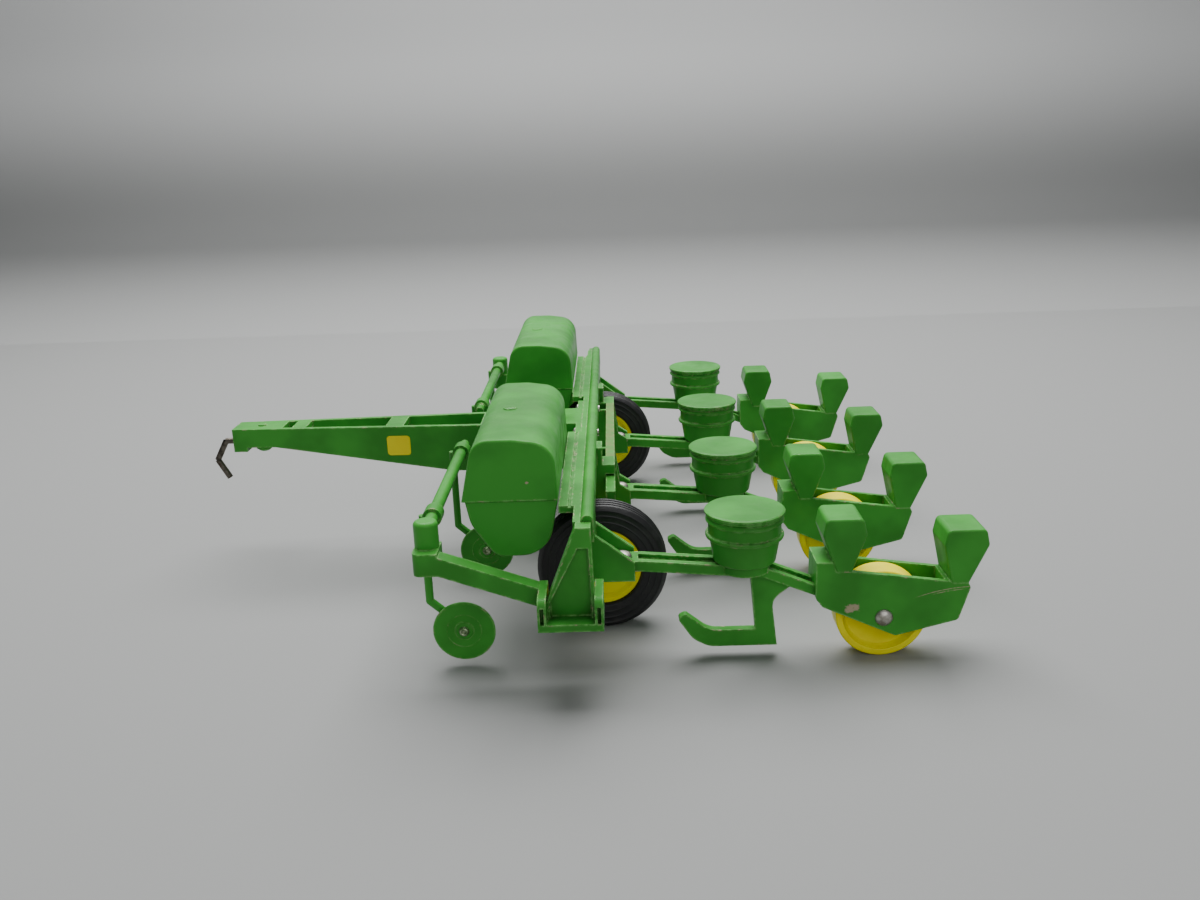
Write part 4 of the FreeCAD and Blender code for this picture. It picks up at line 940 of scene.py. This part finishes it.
# ---------------------------------------------------------------- carrying wheels
@dataclass
class CarryingWheel:
    """A plastic wheel centre and its ribbed tyre, turned about the axle."""

    side: Side
    ribs: int = 4
    groove_width: float = 0.7
    groove_depth: float = 0.9
    shoulder: float = 0.9
    wall_ring: float = 0.35
    flange: float = 1.5
    hub_radius: float = 3.4
    bore: float = 1.55

    def build(self) -> None:
        """Spin the tyre and the centre."""
        label = self.side.label
        body = f"wheel_{label}"
        hand_over(self.tyre(), body, Slot.RUBBER, RUBBER, f"tyre_{label}")
        hand_over(self.centre(), body, Slot.PLASTIC, YELLOW, f"wheel_rim_{label}")

    def tyre(self) -> bpy.types.Object:
        """Round-topped ribs on the tread and three fine rings on each wall.

        Returns:
            The tyre.
        """
        size = size_of(f"tyre_{self.side.label}")
        rim = size_of(f"wheel_rim_{self.side.label}").x / 2
        radius, half = size.x / 2, size.y / 2
        seat = half - 1.0
        wall = [(rim, seat), (rim + 0.5, half - 0.35), (rim + 1.1, half - 0.1)]
        for share in (0.35, 0.6, 0.82):
            at = rim + share * (radius - rim)
            wall += [(at - self.wall_ring, half - 0.25), (at, half),
                     (at + self.wall_ring, half - 0.25)]
        wall.append((radius - self.shoulder, half - 0.3))
        tread = self.tread(radius, half)
        profile = wall + tread + [(r, -y) for r, y in reversed(wall)]
        bm = bmesh.new()
        lathe(bm, profile, JOINTS[f"wheel_{self.side.label}_spin"], Vector((0, 1, 0)), 128)
        return new_piece(f"tyre_ribbed_{self.side.label}", bm, 0.08, smooth_deg=50)

    def tread(self, radius: float, half: float) -> list[tuple[float, float]]:
        """The ribs' section, from the left shoulder to the right one.

        Args:
            radius: the tyre's radius.
            half: half its width.
        Returns:
            Radius and station pairs.
        """
        width = 2 * (half - self.shoulder)
        rib = (width - (self.ribs - 1) * self.groove_width) / self.ribs
        points = []
        for number in range(self.ribs):
            start = width / 2 - number * (rib + self.groove_width)
            for share, drop in ((0.0, 0.35), (0.2, 0.06), (0.5, 0.0), (0.8, 0.06), (1.0, 0.35)):
                points.append((radius - drop, start - share * rib))
            if number < self.ribs - 1:
                floor = radius - self.groove_depth
                points += [(floor, start - rib - 0.12),
                           (floor, start - rib - self.groove_width + 0.12)]
        return points

    def centre(self) -> bpy.types.Object:
        """A flanged centre that dishes in to a round hub.

        Returns:
            The wheel centre.
        """
        size = size_of(f"wheel_rim_{self.side.label}")
        radius, hub = size.x / 2, size.y / 2
        face = 3.2
        half = [(self.bore, hub), (self.hub_radius - 0.5, hub), (self.hub_radius, hub - 0.5),
                (self.hub_radius, 1.6), (self.hub_radius + 0.6, 1.2), (6.2, 1.25),
                (radius - self.flange - 0.9, 1.9), (radius - self.flange, face - 0.25),
                (radius - self.flange + 0.25, face), (radius, face)]
        bm = bmesh.new()
        lathe(bm, half + [(r, -y) for r, y in reversed(half)],
              JOINTS[f"wheel_{self.side.label}_spin"], Vector((0, 1, 0)), 96)
        return new_piece(f"wheel_centre_{self.side.label}", bm, 0.12)


@dataclass
class Axle:
    """The steel axle with a collar inside and a head outside each wheel."""

    radius: float = 1.5
    head_radius: float = 2.6
    head: float = 1.0
    hub_half: float = 4.3

    def build(self) -> None:
        """Spin the whole axle at once, its heads domed."""
        low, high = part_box("axle")
        half = (high.y - low.y) / 2 / MM
        wheel = JOINTS["wheel_left_spin"].y / MM
        inner = wheel - self.hub_half
        turns = [math.pi / 2 * step / 6 for step in range(7)]
        dome = [(self.head_radius * math.cos(turn), half - self.head + self.head * math.sin(turn))
                for turn in reversed(turns)]
        right = dome[:-1] + [(self.head_radius, half - self.head), (self.radius, half - self.head),
                             (self.radius, inner), (self.head_radius, inner),
                             (self.head_radius, inner - self.head),
                             (self.radius, inner - self.head)]
        right[0] = (0.0, half)
        bm = bmesh.new()
        middle = middle_of("axle")
        lathe(bm, right + [(r, -y) for r, y in reversed(right)], middle, Vector((0, 1, 0)), 40)
        hand_over(new_piece("wheel_axle", bm, 0.08), "frame", Slot.RIVET, RIVET_METAL, "axle")


# ---------------------------------------------------------------- disc openers
@dataclass
class DiscOpener:
    """A bent arm and the stamped disc that turns on its foot."""

    row: int
    arm_edge: float = 0.15
    bore: float = 0.95
    hub_radius: float = 2.4

    @property
    def outward(self) -> Vector:
        """The direction that the disc's rivet points in."""
        return Vector((0, 1 if JOINTS[f"disc_{self.row}_spin"].y > 0 else -1, 0))

    def build(self) -> None:
        """Copy the arm and spin the disc."""
        node = f"disc_arm_{self.row}"
        hand_over(cast_copy(node, self.arm_edge), "frame", Slot.ENAMEL, ENAMEL, node)
        disc = f"disc_{self.row}"
        hand_over(self.disc(), disc, Slot.ENAMEL, ENAMEL, disc)

    def disc(self) -> bpy.types.Object:
        """A thin dished disc with a stamped ring round a raised hub.

        Returns:
            The disc.
        """
        node = f"disc_{self.row}"
        low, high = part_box(node)
        radius = (high.x - low.x) / 2 / MM
        joint = JOINTS[f"{node}_spin"]
        inner_y = low.y if self.outward.y > 0 else high.y
        middle = Vector((joint.x, inner_y, joint.z))
        profile = [(self.bore, 0.0), (self.hub_radius, 0.0), (radius - 0.15, 0.82),
                   (radius, 1.0), (radius - 0.1, 1.25), (radius - 0.6, 1.3), (5.2, 1.12),
                   (4.9, 1.25), (4.6, 1.1), (self.hub_radius + 0.25, 1.0),
                   (self.hub_radius, 1.35), (self.hub_radius - 0.3, 1.5), (self.bore, 1.5)]
        bm = bmesh.new()
        lathe(bm, profile, middle, self.outward, 96)
        return new_piece(f"stamped_{node}", bm, 0.05, smooth_deg=40)


@dataclass
class DiscRivets:
    """The rivets that the four discs turn on, drilled in the middle, partly painted."""

    radius: float = 1.5
    height: float = 0.7
    shank: float = 0.9

    def build(self) -> None:
        """Make the four rivets in one piece."""
        bm = bmesh.new()
        low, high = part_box("disc_rivets")
        outer = high.y / MM
        spacing = (JOINTS["row_1_swivel"].y - JOINTS["row_2_swivel"].y) / MM
        for row in range(1, 5):
            joint = JOINTS[f"disc_{row}_spin"]
            sign = 1 if joint.y > 0 else -1
            tip = outer - (spacing if row in (2, 3) else 0)
            middle = Vector((joint.x, sign * tip * MM, joint.z))
            head = [(0.0, -0.5), (0.55, -0.5), (0.6, -0.12), (0.85, 0.0), (1.2, -0.15),
                    (self.radius, -self.height), (self.shank, -self.height), (self.shank, -4.6),
                    (self.radius, -4.6), (self.radius, -4.95), (0.0, -4.95)]
            lathe(bm, head, middle, Vector((0, sign, 0)), 32)
        piece = new_piece("disc_rivet_heads", bm, 0.05)
        hand_over(piece, "frame", Slot.RIVET, WORN_RIVET_METAL, "disc_rivets")


# ---------------------------------------------------------------- row units
@dataclass
class RowUnit:
    """One trailing unit: arm, seed can and press wheel in its frame."""

    row: int
    arm_edge: float = 0.3
    frame_edge: float = 0.6
    bore: float = 1.1
    press_hub: float = 3.0
    press_face: float = 3.7
    can_peg: float = 1.2
    can_collar: float = 7.2
    can_rib_inset: float = 0.75
    can_rib_heights: tuple[float, ...] = (11.7, 13.3)
    lid_spigot: float = 1.5
    lid_plate: float = 1.0
    axle_head: float = 2.5
    axle_shank: float = 1.05
    scrape_middle: Place = (3.0, -1.6, -33.0)
    scrape_radius: float = 47.2
    scrape_pitch: float = 0.6
    scrape_reach: tuple[float, float] = (1.4, 20.2)
    scrape_inset: tuple[float, float] = (4.0, -5.0)
    chip_shares: tuple[Place, ...] = ((0.80, 0.24, 1.9), (0.762, 0.25, 1.5))

    def build(self) -> None:
        """Copy the castings, spin the can, lid and wheel."""
        body = f"row_{self.row}"
        arm = f"row_arm_{self.row}"
        press = f"press_frame_{self.row}"
        hand_over(cast_copy(arm, self.arm_edge), body, Slot.ENAMEL, ENAMEL, arm)
        hand_over(cast_copy(press, self.frame_edge), body, Slot.ENAMEL, self.finish(), press)
        hand_over(self.can(), body, Slot.ENAMEL, ENAMEL, f"seed_can_{self.row}")
        hand_over(self.lid(), body, Slot.ENAMEL, ENAMEL, f"can_lid_{self.row}")
        hand_over(self.wheel(), f"press_wheel_{self.row}", Slot.PLASTIC, YELLOW,
                  f"press_wheel_{self.row}")
        hand_over(self.axle(), body, Slot.RIVET, RIVET_METAL, f"press_axle_{self.row}")

    def finish(self) -> StoveEnamel:
        """Scrape and chip the near frame's outer plate; the others are sound.

        Returns:
            The finish of this row's press-wheel frame.
        """
        if self.row != 1:
            return ENAMEL
        low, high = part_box("press_frame_1")
        length, painted_light_rise = high.x - low.x, high.z - low.z
        across, out, up = self.scrape_middle
        middle = (low.x + across * MM, high.y + out * MM, low.z + up * MM)
        arcs = tuple(Scrape(middle, (self.scrape_radius - self.scrape_pitch * number) * MM,
                            tuple(low.x + (end + inset * number) * MM
                                  for end, inset in zip(self.scrape_reach, self.scrape_inset)))
                     for number in range(2))
        chips = tuple(Chip((low.x + back * length, high.y, low.z + height * painted_light_rise), radius * MM)
                      for back, height, radius in self.chip_shares)
        return StoveEnamel("stove_enamel_green_near_plate", scrapes=arcs, chips=chips)

    def can(self) -> bpy.types.Object:
        """A round can on a tapering foot, with a collar and two ribs.

        Returns:
            The can.
        """
        low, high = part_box(f"seed_can_{self.row}")
        rib = (high.x - low.x) / 2 / MM
        height = (high.z - low.z) / MM
        peg, collar = self.can_peg, self.can_collar
        base = Vector(((low.x + high.x) / 2, (low.y + high.y) / 2, low.z + peg * MM))
        top = height - peg
        wall = rib - self.can_rib_inset
        ribs = []
        for start in self.can_rib_heights:
            ribs += [(wall, start), (rib - 0.12, start + 0.1), (rib, start + 0.45),
                     (rib - 0.12, start + 0.8)]
        ribs[-1] = (rib - 0.12, top)
        profile = [(0.0, -peg), (1.6, -peg), (1.6, 0.0), (8.3, 0.0), (8.7, 0.35),
                   (9.8, collar - 0.2), (rib - 0.1, collar), (rib, collar + 0.3),
                   (rib, collar + 0.7), (rib - 0.2, collar + 1.0), (wall, collar + 1.1)] + ribs
        profile += [(wall - 1.3, top), (wall - 1.3, collar + 1.0), (7.4, 1.3), (0.0, 1.3)]
        bm = bmesh.new()
        lathe(bm, profile, base, Vector((0, 0, 1)), 96)
        return new_piece(f"seed_can_turned_{self.row}", bm, 0.1)

    def lid(self) -> bpy.types.Object:
        """A flat lid, very slightly crowned, with an eased edge.

        Returns:
            The lid.
        """
        low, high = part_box(f"can_lid_{self.row}")
        radius = (high.x - low.x) / 2 / MM
        spigot, plate = self.lid_spigot, self.lid_plate
        base = Vector(((low.x + high.x) / 2, (low.y + high.y) / 2, low.z + spigot * MM))
        profile = [(0.0, -spigot), (9.0, -spigot), (9.0, 0.0), (radius - 0.1, 0.0),
                   (radius, 0.12), (radius, plate - 0.4), (radius - 0.35, plate - 0.12),
                   (radius - 0.9, plate - 0.04), (0.0, plate)]
        bm = bmesh.new()
        lathe(bm, profile, base, Vector((0, 0, 1)), 96)
        return new_piece(f"can_lid_turned_{self.row}", bm, 0.05)

    def wheel(self) -> bpy.types.Object:
        """A press wheel: flat tread, raised rims, dished sides and a long hub.

        Returns:
            The wheel.
        """
        node = f"press_wheel_{self.row}"
        size = size_of(node)
        radius, hub, face = size.x / 2, size.y / 2, self.press_face
        half = [(self.bore, hub), (self.press_hub - 0.3, hub), (self.press_hub, hub - 0.3),
                (self.press_hub, 1.7), (self.press_hub + 0.6, 1.25), (7.2, 1.2),
                (radius - 2.8, 1.45), (radius - 2.2, 2.2), (radius - 1.9, face - 0.15),
                (radius - 1.6, face), (radius - 0.35, face), (radius, face - 0.35)]
        bm = bmesh.new()
        lathe(bm, half + [(r, -y) for r, y in reversed(half)], JOINTS[f"{node}_spin"],
              Vector((0, 1, 0)), 112)
        return new_piece(f"press_wheel_moulded_{self.row}", bm, 0.1)

    def axle(self) -> bpy.types.Object:
        """The headed rivet that the press wheel turns on.

        Returns:
            The rivet.
        """
        node = f"press_axle_{self.row}"
        low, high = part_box(node)
        joint = JOINTS[f"press_wheel_{self.row}_spin"]
        outward = 1 if joint.y > 0 else -1
        tip = high.y if outward > 0 else low.y
        length = (high.y - low.y) / MM
        shank = self.axle_shank
        dome = dome_profile(self.axle_head, 1.3, -1.3, shank, -length)[2:]
        foot = [(0.0, -length), (2.0, -length), (2.0, 0.8 - length), (shank, 0.8 - length)]
        bm = bmesh.new()
        lathe(bm, foot + dome, Vector((joint.x, tip, joint.z)), Vector((0, outward, 0)), 48)
        return new_piece(f"press_rivet_{self.row}", bm, 0.05)


@dataclass
class PivotRivets:
    """The four upright rivets that the rows swing on: bright, slightly battered domes."""

    radius: float = 2.75
    height: float = 1.6
    shank: float = 1.4
    foot: float = 0.9

    def build(self) -> None:
        """Make the four rivets in one piece."""
        low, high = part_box("row_pivot_rivets")
        length = (high.z - low.z) / MM
        head = dome_profile(self.radius, self.height, -self.height, self.shank, -length)[2:]
        foot = [(0.0, -length), (self.radius, -length), (self.radius, self.foot - length),
                (self.shank, self.foot - length)]
        bm = bmesh.new()
        for row in range(1, 5):
            joint = JOINTS[f"row_{row}_swivel"]
            lathe(bm, foot + head, Vector((joint.x, joint.y, high.z)), Vector((0, 0, 1)), 48)
        piece = new_piece("row_pivot_heads", bm, 0.05)
        hand_over(piece, "frame", Slot.RIVET, RIVET_METAL, "row_pivot_rivets")


# ---------------------------------------------------------------- studio
@dataclass
class Studio:
    """Seamless pale floor, soft lights and the camera, all in metres and degrees."""

    lens_mm: float = 32.57
    camera_mm: tuple[float, float, float] = (-22.57, 371.77, 147.13)
    pitch_deg: float = 16.83
    yaw_deg: float = 1.03
    roll_deg: float = -2.04
    floor_half: float = 1.6
    floor_back: float = -1.1
    cove_radius: float = 0.5
    wall_height: float = 1.6
    wash_spread_deg: float = 110.0

    def build(self) -> None:
        """Set up the floor, the lights and the camera."""
        self.backdrop()
        self.soft_box("overhead_softbox", (0.0, -0.30, 0.80), (0.0, 0.0, 0.02), 0.85, 16.5)
        self.soft_box("camera_side_fill", (-0.25, 0.9, 0.45), (0.0, 0.0, 0.03), 0.7, 1.7)
        wash = self.soft_box("backdrop_wash", (0.0, -0.50, 0.45), (0.0, -1.6, 0.30), 1.5, 5.0)
        wash.data.spread = math.radians(self.wash_spread_deg)
        world = bpy.data.worlds.new("studio_air")
        world.use_nodes = True
        air = world.node_tree.nodes["Background"]
        air.inputs["Color"].default_value = linear("e6e8ea")
        air.inputs["Strength"].default_value = 0.32
        bpy.context.scene.world = world
        self.camera()

    def backdrop(self) -> None:
        """A floor that curves up into a wall behind the toy."""
        bm = bmesh.new()
        front = 0.9
        ends = [bmesh.ops.create_vert(bm, co=(x, front, 0))["vert"][0]
                for x in (-self.floor_half, self.floor_half)]
        edges = [bm.edges.new(ends)]
        run = self.sweep(bm, edges, (0, self.floor_back - front, 0))
        turned = bmesh.ops.spin(bm, geom=run, axis=(1, 0, 0), dvec=(0, 0, 0),
                                cent=(0, self.floor_back, self.cove_radius),
                                angle=-math.pi / 2, space=Matrix.Identity(4), steps=24,
                                use_merge=False, use_normal_flip=False, use_duplicate=False)
        last = [item for item in turned["geom_last"] if isinstance(item, bmesh.types.BMEdge)]
        self.sweep(bm, last, (0, 0, self.wall_height))
        bmesh.ops.remove_doubles(bm, verts=bm.verts, dist=MERGE)
        for face in bm.faces:
            face.smooth = True
        mesh = bpy.data.meshes.new("seamless_backdrop")
        bm.to_mesh(mesh)
        bm.free()
        floor = bpy.data.objects.new("seamless_backdrop", mesh)
        bpy.context.scene.collection.objects.link(floor)
        floor.data.materials.append(StudioPaper("seamless_paper_grey").material())

    def sweep(self, bm: bmesh.types.BMesh, edges: list,
              run: tuple[float, float, float]) -> list:
        """Extrude edges along a run.

        Args:
            bm: the bmesh that holds them.
            edges: the edges.
            run: the run, in metres.
        Returns:
            The far vertices and edges.
        """
        made = bmesh.ops.extrude_edge_only(bm, edges=edges)["geom"]
        far = [item for item in made if isinstance(item, bmesh.types.BMVert)]
        bmesh.ops.translate(bm, vec=run, verts=far)
        return far + [edge for edge in made if isinstance(edge, bmesh.types.BMEdge)
                      and all(vert in far for vert in edge.verts)]

    def soft_box(self, name: str, spot: tuple[float, float, float],
                 target: tuple[float, float, float], size: float,
                 watts: float) -> bpy.types.Object:
        """Hang a square area light that faces a target.

        Args:
            name: the light's name.
            spot: where it hangs, in metres.
            target: the point that it faces, in metres.
            size: the length of its side, in metres.
            watts: its power.
        Returns:
            The light's object.
        """
        lamp = bpy.data.lights.new(name, "AREA")
        lamp.size = size
        lamp.energy = watts
        holder = bpy.data.objects.new(name, lamp)
        holder.location = spot
        aim = Vector(target) - Vector(spot)
        holder.rotation_euler = aim.to_track_quat("-Z", "Y").to_euler()
        bpy.context.scene.collection.objects.link(holder)
        return holder

    def camera(self) -> None:
        """A camera on the toy's left, looking down a little, as the lens and angles say."""
        pitch, yaw, roll = (math.radians(angle)
                            for angle in (self.pitch_deg, self.yaw_deg, self.roll_deg))
        ahead = Vector((math.sin(yaw) * math.cos(pitch), -math.cos(yaw) * math.cos(pitch),
                        -math.sin(pitch)))
        level = ahead.cross(Vector((0, 0, 1))).normalized()
        upright = level.cross(ahead)
        right = level * math.cos(roll) + upright * math.sin(roll)
        up = upright * math.cos(roll) - level * math.sin(roll)
        data = bpy.data.cameras.new("studio_camera")
        data.lens = self.lens_mm
        data.sensor_width = 36.0
        data.clip_start = 0.01
        holder = bpy.data.objects.new("studio_camera", data)
        turn = Matrix((right, up, -ahead)).transposed().to_4x4()
        holder.matrix_world = Matrix.Translation(Vector(self.camera_mm) * MM) @ turn
        bpy.context.scene.collection.objects.link(holder)
        bpy.context.scene.camera = holder


def main() -> None:
    """Build every sub-assembly in order, then the studio."""
    logging.basicConfig(level=logging.INFO, format="%(message)s")
    assemblies = [CrossFrame(), Tongue(), RoofRivets(), Axle(), DiscRivets(), PivotRivets()]
    for side in Side:
        assemblies += [Hopper(side), CarryingWheel(side)]
    for row in range(1, 5):
        assemblies += [DiscOpener(row), RowUnit(row)]
    for assembly in assemblies:
        log.info("building %s", type(assembly).__name__)
        assembly.build()
    Studio().build()


if __name__ == "__main__":
    main()
